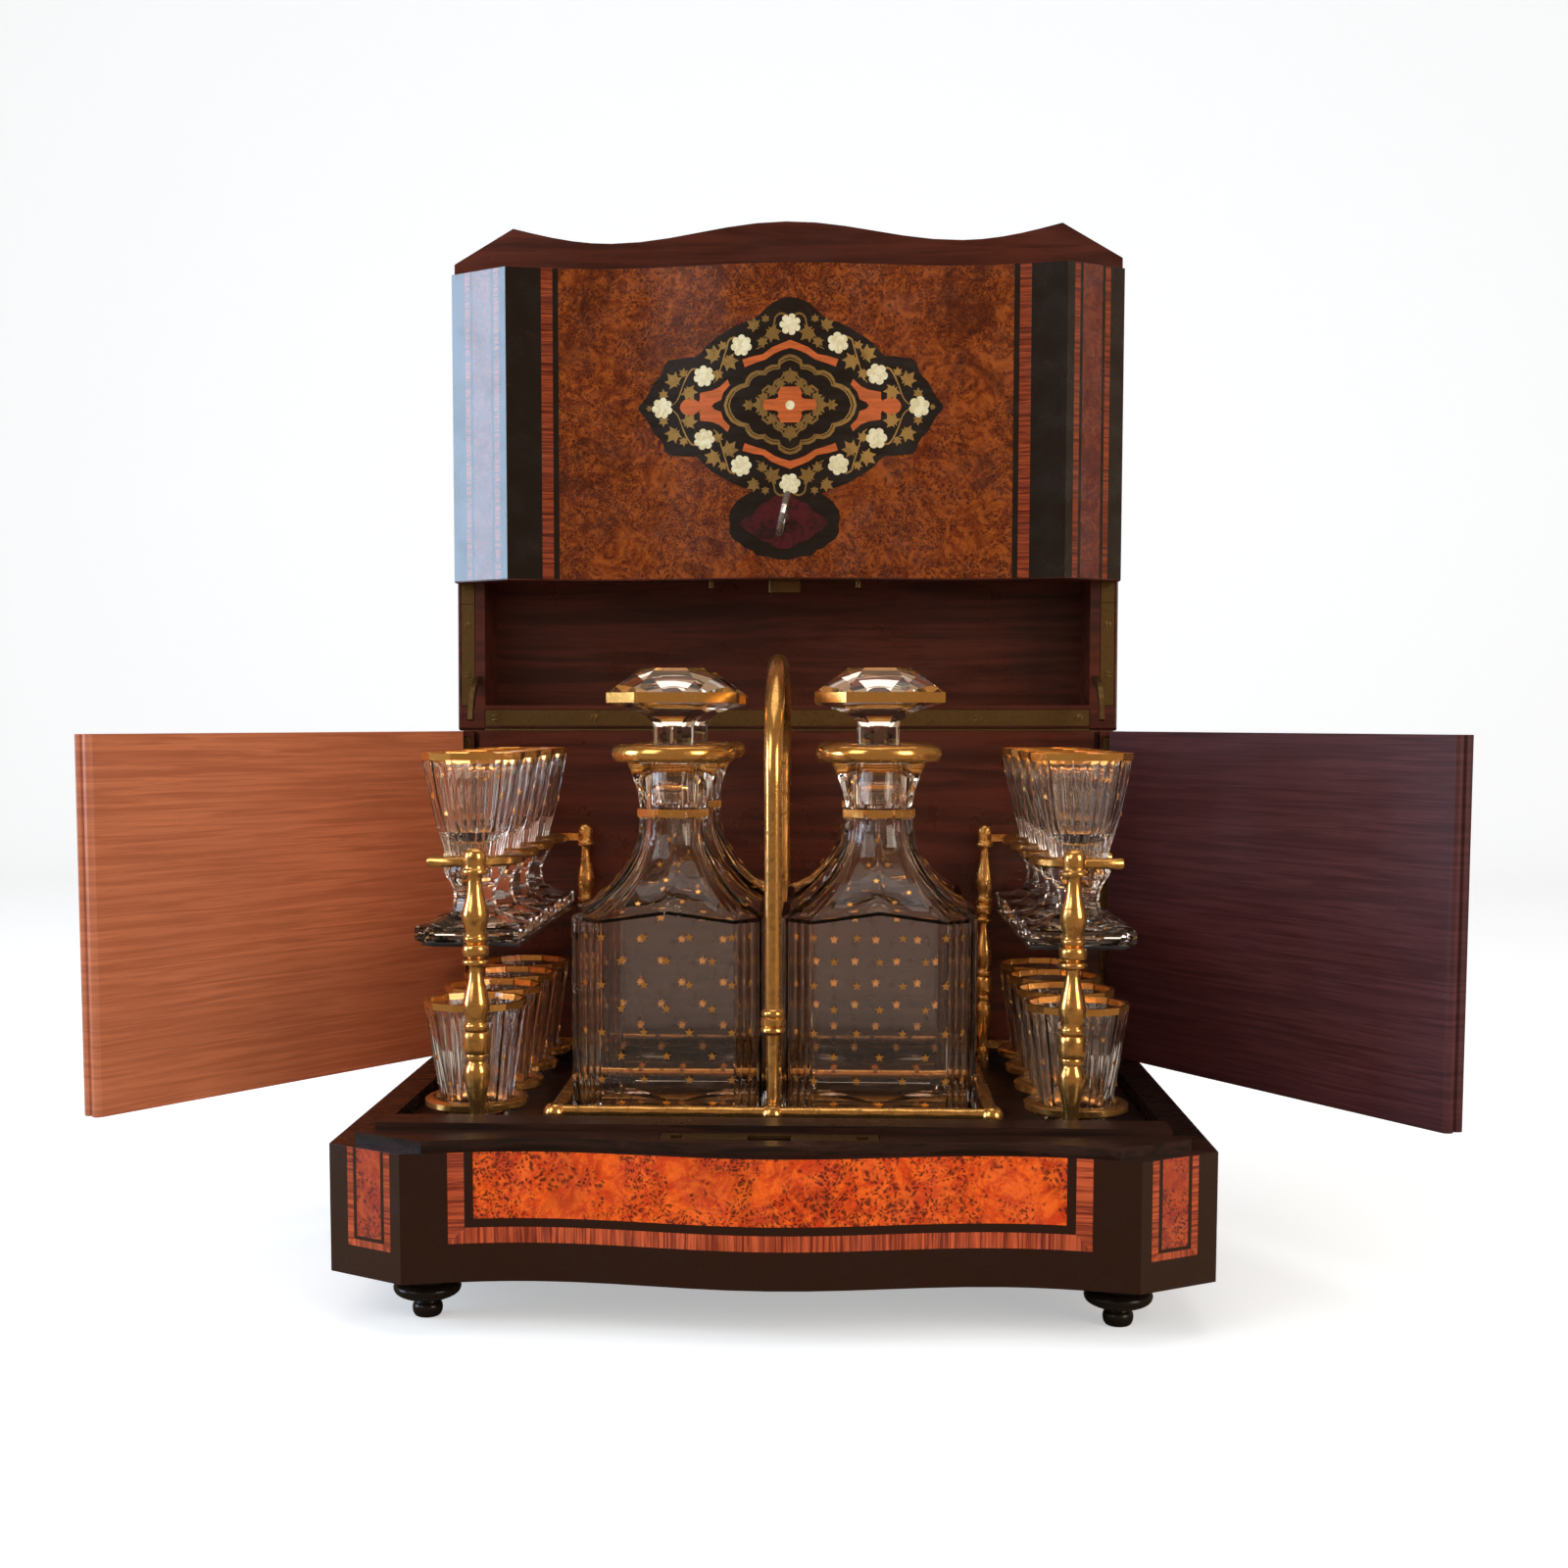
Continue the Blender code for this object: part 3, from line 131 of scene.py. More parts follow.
class StageSettings(bpy.types.PropertyGroup):
    """Floor, lamps and camera"""
    floor: colour("Floor", "Colour of the floor and backdrop", (0.90, 0.90, 0.90))
    key_power: FloatProperty(name="Key lamp", description="Power of the cool lamp on the left", default=8.0,
                             unit="POWER")
    sun_power: FloatProperty(name="Warm lamp", description="Power of the warm lamp on the right",
                             default=12.0, unit="POWER")
    top_power: FloatProperty(name="Top lamp", description="Power of the lamp overhead", default=5.0,
                             unit="POWER")
    window_power: FloatProperty(name="Window",
                                description="Power of the pale window that the left cants mirror",
                                default=13.0, unit="POWER")
    warmth: colour("Room colour", "Colour of the room in polished surfaces", (1.0, 0.68, 0.42))
    ambient: share("Ambient light", "Strength of the light from all round", 0.45)
    mirrored: share("Mirrored room", "Brightness of the room in polished surfaces", 0.26)
    through: share("Seen through glass", "Brightness of the room through the glass", 0.40)
    lens: FloatProperty(name="Lens", description="Focal length on a 36 mm sensor", default=45.0, min=1,
                        unit="CAMERA")


def settings(name):
    return getattr(bpy.context.scene, name)


# Shader helpers

def fill(tree, holder, inputs):
    """Each input takes a value or another node's socket."""
    for key, value in inputs.items():
        if isinstance(value, bpy.types.NodeSocket):
            tree.links.new(value, holder.inputs[key])
        else:
            holder.inputs[key].default_value = value


def node(tree, kind, inputs=None, **values):
    """A shader node with its settings and inputs."""
    made = tree.nodes.new("ShaderNode" + kind)
    for key, value in values.items():
        setattr(made, key, value)
    fill(tree, made, inputs or {})
    return made


def here(tree):
    return node(tree, "TexCoord").outputs["Object"]


def maths(tree, operation, first, second=0.0, third=0.0):
    return node(tree, "Math", {0: first, 1: second, 2: third}, operation=operation).outputs[0]


def times(tree, first, second):
    return maths(tree, "MULTIPLY", first, second)


def above(tree, value, limit):
    return maths(tree, "GREATER_THAN", value, limit)


def span(tree, value, low, high, to_low=0.0, to_high=1.0):
    """The value carried smoothly from one range to another."""
    return node(tree, "MapRange", {"Value": value, "From Min": low, "From Max": high, "To Min": to_low,
                                   "To Max": to_high}, interpolation_type="SMOOTHSTEP").outputs[0]


def mix(tree, factor, first, second, blend="MIX"):
    made = node(tree, "Mix", {0: factor, 6: first, 7: second}, data_type="RGBA", blend_type=blend)
    return made.outputs[2]


def noise(tree, vector, scale, detail=4.0, rough=0.55, distortion=0.0):
    return node(tree, "TexNoise", {"Vector": vector, "Scale": scale, "Detail": detail, "Roughness": rough,
                                   "Distortion": distortion}).outputs[0]


def stretched(tree, vector, scale):
    return node(tree, "VectorMath", {0: vector, 1: scale}, operation="MULTIPLY").outputs[0]


WHITE, BLACK = (1.0, 1.0, 1.0, 1.0), (0.0, 0.0, 0.0, 1.0)
FIGURE = (("Color", "Color"), ("Height", "Float"))


def group(name, inputs, outputs, build):
    """A shader node group, built once; build gets the tree, its inputs by name and fills the outputs."""
    found = bpy.data.node_groups.get(name)
    if found:
        return found
    tree = bpy.data.node_groups.new(name, "ShaderNodeTree")
    for label, kind, default in inputs:
        socket = tree.interface.new_socket(label, in_out="INPUT", socket_type="NodeSocket" + kind)
        socket.default_value = default
    for label, kind in outputs:
        tree.interface.new_socket(label, in_out="OUTPUT", socket_type="NodeSocket" + kind)
    start, end = tree.nodes.new("NodeGroupInput"), tree.nodes.new("NodeGroupOutput")
    for label, socket in build(tree, {label: start.outputs[label] for label, _, _ in inputs}).items():
        tree.links.new(socket, end.inputs[label])
    return tree


def placed(tree, made, inputs):
    """The group placed in a material; returns its outputs."""
    return node(tree, "Group", inputs, node_tree=made).outputs


def solid(rgb, strength=1.0):
    return (*(strength * value for value in rgb), 1.0)


def scaled(rgb, strength):
    return tuple(strength * value for value in rgb)


def burl_group():
    """Soft waves and clouds of distorted noise for the figure, with clusters of small dark eyes."""
    def build(tree, get):
        vector = here(tree)

        def fine(value):
            return times(tree, get["Scale"], value)

        waves = noise(tree, vector, fine(95), 5, 0.6, 2.6)
        curls = noise(tree, vector, fine(330), 5, 0.7, 3.4)
        figure = maths(tree, "ADD", times(tree, waves, 0.66), times(tree, curls, 0.34))
        tone = mix(tree, span(tree, figure, 0.40, 0.60), get["Middle"], get["Light"])
        clouds = noise(tree, vector, fine(42), 7, 0.62, 1.4)
        shade = times(tree, span(tree, clouds, 0.52, 0.34), get["Clouds"])
        tone = mix(tree, shade, tone, get["Dark"])
        swirl = node(tree, "TexNoise", {"Vector": vector, "Scale": 190.0, "Detail": 2.0}).outputs[1]
        bent = mix(tree, 0.006, vector, node(tree, "VectorMath", {0: vector, 1: swirl},
                                             operation="ADD").outputs[0])
        eyes = 0.0
        burl_eyes = (620, 0.56, 46, 0.47), (380, 0.46, 60, 0.51), (900, 0.60, 34, 0.45)
        for size, reach, spread, low in burl_eyes:
            cells = node(tree, "TexVoronoi", {"Vector": bent, "Scale": fine(size),
                                              "Randomness": 1.0}).outputs[0]
            cluster = span(tree, noise(tree, vector, fine(spread), 4, 0.65, 0.5), low, low + 0.07)
            found = times(tree, span(tree, cells, reach, reach * 0.3), cluster)
            eyes = maths(tree, "MAXIMUM", eyes, found)
        tone = mix(tree, times(tree, eyes, 0.85), tone, get["Dark"])
        threads = noise(tree, vector, fine(700), 3, 0.7, 4.0)
        tone = mix(tree, span(tree, threads, 0.52, 0.70, 0.0, get["Clouds"]), tone, get["Dark"])
        return {"Color": tone, "Height": maths(tree, "ADD", threads, eyes)}
    return group("Burl figure", (("Scale", "Float", 1.0), ("Clouds", "Float", 0.5), ("Light", "Color", WHITE),
                                 ("Middle", "Color", WHITE), ("Dark", "Color", BLACK)), FIGURE, build)


def grain_group():
    """Noise stretched along the grain gives streaks, a finer one the open pores."""
    def build(tree, get):
        vector = here(tree)
        drift = noise(tree, vector, 12.0, 2)
        along = stretched(tree, vector, get["Stretch"])
        streaks = noise(tree, along, 1.0, 6, 0.6, 0.8)
        pores = noise(tree, along, 5.0, 2, 0.5)
        tone = mix(tree, span(tree, streaks, 0.34, 0.66), get["Dark"], get["Light"])
        tone = mix(tree, span(tree, drift, 0.35, 0.7, 0.0, 0.35), tone, get["Dark"])
        tone = mix(tree, span(tree, pores, 0.58, 0.70, 0.0, 0.55), tone, get["Dark"])
        return {"Color": tone, "Height": maths(tree, "SUBTRACT", streaks, pores)}
    return group("Straight grain", (("Stretch", "Vector", (1, 1, 1)), ("Light", "Color", WHITE),
                                    ("Dark", "Color", BLACK)), FIGURE, build)


def patina_group():
    """Mottling for metal: broad stains and fine pitting between a bright and a dull colour."""
    def build(tree, get):
        vector = here(tree)
        stains = noise(tree, vector, get["Scale"], 6, 0.65, 0.8)
        pits = noise(tree, vector, times(tree, get["Scale"], 7), 4, 0.7)
        dull = maths(tree, "MAXIMUM", span(tree, stains, 0.46, 0.68), span(tree, pits, 0.60, 0.74))
        dull = times(tree, dull, get["Wear"])
        return {"Color": mix(tree, dull, get["Bright"], get["Dull"]), "Dull": dull,
                "Height": maths(tree, "ADD", stains, times(tree, pits, 0.5))}
    return group("Patina", (("Scale", "Float", 120.0), ("Wear", "Float", 0.7), ("Bright", "Color", WHITE),
                            ("Dull", "Color", BLACK)), (*FIGURE, ("Dull", "Float")), build)


def panel_group():
    """Distance in metres outside a panel's edge: across from its middle line, and below its foot."""
    def build(tree, get):
        place = node(tree, "SeparateXYZ", {0: here(tree)}).outputs
        across = maths(tree, "ABSOLUTE", maths(tree, "SUBTRACT", place[0], CENTRE_X))
        from_middle = maths(tree, "ABSOLUTE", maths(tree, "SUBTRACT", across, get["Middle"]))
        beside = maths(tree, "SUBTRACT", from_middle, get["Half"])
        below = maths(tree, "SUBTRACT", get["Foot"], place[2])
        return {"Distance": maths(tree, "MAXIMUM", beside, below), "Across": across, "Beside": beside}
    return group("Panel distance", (("Middle", "Float", 0.0), ("Half", "Float", 0.1),
                                    ("Foot", "Float", -1.0)),
                 (("Distance", "Float"), ("Across", "Float"), ("Beside", "Float")), build)


def material(name, build):
    """A material with a Principled shader; build fills its inputs from the tree."""
    found = bpy.data.materials.get(name)
    if found:
        return found
    made = bpy.data.materials.new(name)
    made.use_nodes = True
    tree = made.node_tree
    fill(tree, tree.nodes["Principled BSDF"], build(tree))
    return made


def bump(tree, height, strength, distance):
    return node(tree, "Bump", {"Height": height, "Strength": strength, "Distance": distance}).outputs[0]


def burl(tree, base):
    wood = settings("cabinet_veneer")
    # On the base the burl takes the base colours, whose extra brightness is painted sunlight.
    light, middle = (wood.base_sunlit_light, wood.base_sunlit_middle) if base else (wood.burl_light, wood.burl_middle)
    return placed(tree, burl_group(), {"Scale": 0.8 if base else 1.0, "Clouds": 0.25 if base else 0.6,
                                       "Light": solid(light), "Middle": solid(middle),
                                       "Dark": solid(wood.burl_dark)})


def crossband(tree, stretch, strength=1.0):
    wood = settings("cabinet_veneer")
    # strength scales both colours; banded uses it for painted sunlight on the base front and painted shade on the
    # drop front.
    return placed(tree, grain_group(), {"Stretch": stretch, "Light": solid(wood.tulip_light, strength),
                                        "Dark": solid(wood.tulip_dark, strength)})


def ebony_tone(tree):
    """Blackened wood: faint grain, with brown rubbed through where a broad noise is high."""
    wood = settings("cabinet_veneer")
    rubbed = span(tree, noise(tree, here(tree), 55.0, 8, 0.7, 0.6), 0.54, 0.78, 0.0, 0.55)
    brown = scaled(wood.ebony, 3.4)
    return mix(tree, rubbed, solid(wood.ebony), (brown[0] * 1.25, brown[1], brown[2] * 0.8, 1.0))


def banded(name, base, middle, foot, corner, cant, cant_foot):
    """Burl panel with a black line and a crossband round it in a black ground, and one on each cant."""
    def build(tree):
        panel = placed(tree, panel_group(), {"Middle": 0.0, "Half": middle, "Foot": foot})
        side = placed(tree, panel_group(), {"Middle": corner + cant * 0.44, "Half": cant * 0.17,
                                            "Foot": cant_foot})
        on_cant = above(tree, panel["Across"], corner)
        figure = burl(tree, base)
        duller = mix(tree, 0.5, figure["Color"], (0.10, 0.022, 0.028, 1.0))
        # One crossband in two brightnesses: a painted sunlit copy at 1.15 on the base front and a painted shaded
        # copy at 0.55 on the drop front.
        strength = 1.15 if base else 0.55
        cross = crossband(tree, (25.0, 25.0, 900.0), strength)
        along = crossband(tree, (900.0, 25.0, 25.0), strength)
        black = (0.024, 0.007, 0.003, 1.0) if base else ebony_tone(tree)
        tones = []
        panel_line, panel_band = (0.0033, 0.0092) if base else (0.0026, 0.0078)
        for found, wood, line, band in ((panel, figure["Color"], panel_line, panel_band),
                                        (side, duller, 0.0014, 0.0040)):
            upright = maths(tree, "LESS_THAN", found["Distance"], maths(tree, "ADD", found["Beside"], 1e-5))
            stripe = mix(tree, upright, along["Color"], cross["Color"])
            tone = mix(tree, above(tree, found["Distance"], 0.0), wood, black)
            tone = mix(tree, above(tree, found["Distance"], line), tone, stripe)
            tones.append(mix(tree, above(tree, found["Distance"], band), tone, black))
        return {"Base Color": mix(tree, on_cant, tones[0], tones[1]),
                "Roughness": span(tree, noise(tree, here(tree), 70.0), 0.3, 0.75, 0.16, 0.34),
                "Specular IOR Level": 0.3, "Coat Roughness": 0.12,
                "Coat Weight": span(tree, on_cant, 0.0, 1.0, 0.1, 1.0),
                "Normal": bump(tree, figure["Height"], 0.12, 0.0002)}
    return material(name, build)


def ebonised():
    def build(tree):
        fine = noise(tree, stretched(tree, here(tree), (40.0, 300.0, 300.0)), 1.0, 5)
        return {"Base Color": ebony_tone(tree), "Roughness": span(tree, fine, 0.3, 0.7, 0.20, 0.38),
                "Specular IOR Level": 0.3, "Coat Weight": 0.1, "Coat Roughness": 0.15,
                "Normal": bump(tree, fine, 0.15, 0.0002)}
    return material("Ebonised wood", build)


def mahogany(name, light, dark, stretch, rough):
    def build(tree):
        grain = placed(tree, grain_group(), {"Stretch": stretch, "Light": solid(light), "Dark": solid(dark)})
        sheen = span(tree, noise(tree, here(tree), 30.0, 5, 0.6), 0.3, 0.7, rough, rough + 0.16)
        return {"Base Color": grain["Color"], "Roughness": sheen, "Specular IOR Level": 0.3,
                "Coat Weight": 0.06, "Coat Roughness": 0.2,
                "Normal": bump(tree, grain["Height"], 0.25, 0.0003)}
    return material(name, build)


def metal(name, bright, dull, scale, wear, rough, lift=0.15):
    def build(tree):
        found = placed(tree, patina_group(), {"Scale": scale, "Wear": wear, "Bright": solid(bright),
                                              "Dull": solid(dull)})
        return {"Base Color": found["Color"], "Metallic": 0.93,
                "Roughness": span(tree, found["Dull"], 0.0, 1.0, rough, rough + 0.25),
                "Normal": bump(tree, found["Height"], lift, 0.0002)}
    return material(name, build)


def aged_brass():
    kit = settings("cabinet_metal")
    return metal("Aged brass", kit.brass, scaled(kit.brass, 0.5), 420.0, 0.6, 0.4)


def gilding():
    kit = settings("cabinet_metal")
    return metal("Gilding", kit.gilt, kit.worn, 210.0, 0.75, 0.16, 0.2)


def bright_gilding():
    kit = settings("cabinet_metal")
    return metal("Bright gilding", (0.90, 0.48, 0.13), kit.gilt, 260.0, 0.5, 0.16, 0.08)


def inlay_brass():
    return metal("Inlaid brass", (0.40, 0.25, 0.085), (0.20, 0.12, 0.040), 300.0, 0.6, 0.42)


def steel():
    return metal("Dull steel", (0.34, 0.31, 0.29), (0.12, 0.09, 0.08), 300.0, 0.7, 0.25)


def pearl():
    def build(tree):
        sheen = noise(tree, here(tree), 190.0, 4, 0.6, 2.0)
        tone = mix(tree, span(tree, sheen, 0.35, 0.65), (0.66, 0.55, 0.30, 1), (0.80, 0.72, 0.48, 1))
        return {"Base Color": tone, "Roughness": span(tree, sheen, 0.3, 0.7, 0.2, 0.4),
                "Coat Weight": 0.4, "Coat Roughness": 0.1}
    return material("Mother of pearl", build)


def tulipwood():
    def build(tree):
        found = crossband(tree, (60.0, 60.0, 620.0))
        tone = mix(tree, 0.55, found["Color"], (0.62, 0.135, 0.020, 1.0))
        return {"Base Color": tone, "Roughness": 0.27, "Coat Weight": 0.1,
                "Coat Roughness": 0.15, "Normal": bump(tree, found["Height"], 0.1, 0.0002)}
    return material("Tulipwood inlay", build)


def red_shell():
    def build(tree):
        clouds = noise(tree, here(tree), 160.0, 5, 0.6, 1.5)
        tone = mix(tree, span(tree, clouds, 0.35, 0.65), (0.020, 0.002, 0.004, 1), (0.075, 0.004, 0.008, 1))
        return {"Base Color": tone, "Roughness": 0.25, "Coat Weight": 0.1}
    return material("Dark red inlay", build)


def crystal():
    """Clear cut glass, whose shadow lets light through, so that the inside of the cabinet stays lit."""
    found = bpy.data.materials.get("Cut glass")
    if found:
        return found
    # Its tint holds a painted reflection of the warm mahogany as well as the glass's own slight colour.
    made = material("Cut glass", lambda tree: {
        "Base Color": solid(settings("cabinet_glass").tint), "Metallic": 0.0, "IOR": 1.4,
        "Transmission Weight": 1.0, "Specular IOR Level": 0.5,
        "Roughness": span(tree, noise(tree, here(tree), 90.0, 3), 0.45, 0.75, 0.0, 0.04)})
    tree = made.node_tree
    shader, end = tree.nodes["Principled BSDF"], tree.nodes["Material Output"]
    clear = node(tree, "BsdfTransparent", {"Color": (0.93, 0.88, 0.86, 1.0)})
    shadow = node(tree, "LightPath").outputs["Is Shadow Ray"]
    both = node(tree, "MixShader", {0: shadow, 1: shader.outputs[0], 2: clear.outputs[0]})
    tree.links.new(both.outputs[0], end.inputs[0])
    return made


# Surface helpers

def skin(points, closed=True, ends=True):
    """Vertices and faces of a grid of points; columns join up where closed, and ends get a fan."""
    rows, columns = points.shape[:2]
    index = np.arange(rows * columns).reshape(rows, columns)
    after = np.roll(index, -1, axis=1) if closed else index[:, 1:]
    before = index if closed else index[:, :-1]
    quads = np.stack([before[:-1], after[:-1], after[1:], before[1:]], axis=-1).reshape(-1, 4)
    places = points.reshape(-1, 3)
    faces = [quads]
    if closed and ends:
        middles = np.stack([points[0].mean(axis=0), points[-1].mean(axis=0)])
        low = np.stack([after[0], before[0], np.full(columns, len(places))], axis=-1)
        high = np.stack([before[-1], after[-1], np.full(columns, len(places) + 1)], axis=-1)
        places = np.concatenate([places, middles])
        faces += [low, high]
    return places, faces


def gathered(parts):
    """Several skins as one."""
    places, faces, start = [], [], 0
    for found, polygons in parts:
        places.append(found)
        faces += [polygon + start for polygon in polygons]
        start += len(found)
    return np.concatenate(places), faces


def make(name, parts, finish, body, matrix=None, smooth=40):
    """A new piece from its skins, moved by the matrix into place, facing out, riding on its body."""
    places, faces = gathered(parts)
    if matrix is not None:
        turn = np.array(matrix)
        places = places @ turn[:3, :3].T + turn[:3, 3]
    mesh = bpy.data.meshes.new(name)
    mesh.from_pydata(places.tolist(), [], [face for polygons in faces for face in polygons.tolist()])
    mesh.validate()
    mesh.materials.append(finish)
    obj = bpy.data.objects.new(name, mesh)
    bpy.context.scene.collection.objects.link(obj)
    work = bmesh.new()
    work.from_mesh(mesh)
    bmesh.ops.remove_doubles(work, verts=work.verts, dist=1e-7)
    bmesh.ops.recalc_face_normals(work, faces=work.faces)
    work.to_mesh(mesh)
    work.free()
    mesh.shade_smooth()
    mesh.set_sharp_from_angle(angle=radians(smooth))
    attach(obj, body)
    return obj


def about(steps):
    """Angles spread evenly over a full turn."""
    return np.linspace(0, tau, steps, endpoint=False)


def polar(radius, angle):
    """Points (x, y) at a radius and an angle, which may both vary."""
    return np.stack([radius * np.cos(angle), radius * np.sin(angle)], axis=-1)


def at_height(flat, height):
    """Points (x, y) with their height added."""
    return np.concatenate([flat, np.broadcast_to(height, flat.shape[:-1])[..., None]], axis=-1)


def carried_round(profile, angle):
    """A profile of (radius, height): each point goes round a circle of its radius."""
    radius, height = np.array(profile, float).T[..., None]
    return at_height(polar(radius, angle), height)


def turned(profile, steps, centre):
    """A solid of a profile turned about an upright axis."""
    return skin(carried_round(profile, about(steps)) + np.array(centre))


def ring_of(section, steps, turn=0.0, centre=(0, 0, 0)):
    """A closed section of (radius, height) carried round and joined to itself."""
    return skin(carried_round([*section, section[0]], about(steps) + turn) + np.array(centre), ends=False)


def directions(turn):
    """The horizontal direction outward at an angle, and the one along it."""
    return np.array([cos(turn), sin(turn), 0]), np.array([-sin(turn), cos(turn), 0])


def up_by(height):
    return np.array([0, 0, height])


def rounded(profile, steps=5):
    """A smooth curve through a profile's points: each span follows a cubic through its neighbours."""
    p = np.array(profile, float)
    p = np.vstack([2 * p[0] - p[1], p, 2 * p[-1] - p[-2]])
    t = np.linspace(0, 1, steps, endpoint=False)[:, None]
    spans = [b + 0.5 * t * (c - a + t * (2 * a - 5 * b + 4 * c - d + t * (3 * b - a - 3 * c + d)))
             for a, b, c, d in zip(p, p[1:], p[2:], p[3:])]
    return np.vstack([*spans, p[-2]])


def swept(path, radius, sides=20, twist=0.0, lobes=0, depth=0.0, closed=False):
    """A bar along a path, ringed across its direction; lobes ripple its radius and turn with twist."""
    path = np.array(path, float)
    radius = np.broadcast_to(np.array(radius, float), len(path))
    along = np.gradient(path, axis=0)
    if closed:
        along = np.roll(path, -1, axis=0) - np.roll(path, 1, axis=0)
    along /= np.linalg.norm(along, axis=1)[:, None]
    guide = np.array([0.0, 0.0, 1.0]) if abs(along[:, 2]).max() < 0.9 else np.array([1.0, 0.0, 0.0])
    first = np.cross(along, guide)
    first /= np.linalg.norm(first, axis=1)[:, None]
    second = np.cross(along, first)
    run = np.concatenate([[0], np.cumsum(np.linalg.norm(np.diff(path, axis=0), axis=1))])
    angle = about(sides)
    ripple = 1 - depth * np.abs(np.sin(lobes / 2 * (angle[None, :] + twist * run[:, None])))
    reach = radius[:, None] * ripple
    points = (path[:, None] + reach[..., None] * (np.cos(angle)[None, :, None] * first[:, None]
                                                  + np.sin(angle)[None, :, None] * second[:, None]))
    if closed:
        return skin(np.concatenate([points, points[:1]]), ends=False)
    return skin(points)


def slab(low, high):
    """A box between two corners, as four points carried up."""
    x, y = np.array([low[0], high[0], high[0], low[0]]), np.array([low[1], low[1], high[1], high[1]])
    return lofted([low[2], high[2]], [np.stack([x, y], axis=-1)] * 2)


def bow_depth(across, sizes):
    """Depth of the serpentine front across it: cosine bow, quarter-cosine horn, flat cant."""
    half, cant, side, corner, trough, bow = sizes
    flat, x = half - cant, np.abs(across)
    hollow = flat * TROUGH_SHARE
    depth = np.where(x <= hollow, trough + (bow - trough) * (1 + np.cos(pi * x / hollow)) / 2,
                     trough + (corner - trough) * (1 - np.cos(pi / 2 * (x - hollow) / (flat - hollow))))
    return np.where(x > flat, corner + (side - corner) * (x - flat) / cant, depth)


def sheet_between(x, near, far, bottom, top):
    """A flat sheet between two curves over x, closed below and above by quads from curve to curve."""
    ring = np.concatenate([np.stack([x, near], axis=-1), np.stack([x, far], axis=-1)[::-1]])
    places, faces = lofted([bottom, top], [ring, ring], ends=False)
    count = len(x)
    a, b = np.arange(count - 1), 2 * count - 1 - np.arange(count - 1)
    quads = np.stack([a, a + 1, b - 1, b], axis=-1)
    return places, [*faces, quads, quads + 2 * count]


def face_veneer(sizes, bottom, top, proud, sink=0.0008):
    """A thin skin over the serpentine front, from below its surface to just proud of it."""
    half, cant = sizes[:2]
    flat = half - cant
    x = np.concatenate([[-half], np.linspace(-flat, flat, 129), [half]])
    face = -bow_depth(x, sizes)
    return sheet_between(x, face - proud, face + sink, bottom, top)


def on_face(flat, level):
    """Points of the drop front's face, at a level over its veneer."""
    y = -bow_depth(flat[..., 0], FRONT_SIZES) - settings("cabinet_veneer").thickness - level
    return np.stack([flat[..., 0], y, flat[..., 1]], axis=-1)


def inlay(outline, centre, level, rings=5):
    """A plate let into the drop front: rings of its outline shrink to its centre and follow the bow."""
    outline, centre = np.array(outline, float), np.array(centre, float)
    shares = np.linspace(1, 0, rings, endpoint=False)
    flat = centre + shares[:, None, None] * (outline - centre)
    flat = np.concatenate([outline[None], flat])
    heights = np.full(flat.shape[:2], level)
    heights[0] = -INLAY_DEPTH
    places, faces = skin(on_face(flat, heights))
    places[-1] = on_face(places[-1, ::2], level)
    return places, faces


def line_inlay(path, width, level, closed=False):
    """A thin strip along a path on the drop front; its width may vary along it."""
    path = np.array(path, float)
    along = np.roll(path, -1, axis=0) - np.roll(path, 1, axis=0) if closed else np.gradient(path, axis=0)
    across = np.stack([-along[:, 1], along[:, 0]], axis=-1)
    across /= np.linalg.norm(across, axis=1)[:, None]
    half = np.broadcast_to(np.array(width, float) / 2, len(path))[:, None]
    near, far = path - across * half, path + across * half
    edges = np.stack([near, near, far, far], axis=1)
    points = on_face(edges, np.array([-INLAY_DEPTH, level, level, -INLAY_DEPTH]))
    return skin(np.concatenate([points, points[:1]]), ends=False) if closed else skin(points)


FLIPS = ((False, False), (False, True), (True, False), (True, True))


def mirrored(points, x=True, z=False):
    """The outline reflected left to right and top to bottom."""
    return np.array(points, float) * np.array([-1 if x else 1, -1 if z else 1])


def flower(centre, radius, petals, turn=0.0):
    """Radius swells and shrinks once for each petal."""
    angle = about(petals * 12)
    reach = radius * (0.66 + 0.34 * np.abs(np.sin(petals / 2 * (angle + turn))) ** 0.42)
    return np.array(centre) + polar(reach, angle)


def leaf(centre, size, turn):
    """A five-lobed leaf: radius peaks at its tip and at two lobes on each side."""
    angles = np.radians([0, 16, 34, 50, 66, 90, 104, 124, 148, 165, 180])
    reach = np.array([1.0, 0.66, 0.56, 0.92, 0.62, 0.50, 0.82, 0.50, 0.42, 0.60, 0.30])
    full = np.concatenate([angles, tau - angles[-2:0:-1]])
    radii = np.concatenate([reach, reach[-2:0:-1]]) * size
    return np.array(centre) + polar(radii, full + turn)


def star(radius, points):
    """Points of a star, outer and inner by turns."""
    number, notch_share = np.arange(2 * points), 0.42
    return polar(np.where(number % 2, notch_share, 1.0) * radius, pi / 2 + pi / points * number)


def star_on(centre, right, outward, size, up=(0, 0, 1), lift=0.00008):
    """A thin star on a surface, in the plane of two directions."""
    kit = settings("cabinet_glass")
    flat = star(kit.star_radius * size, kit.star_points)
    place = centre + flat[:, :1] * right + flat[:, 1:] * np.array(up)
    return skin(np.stack([place - lift * outward, place + lift * outward]))


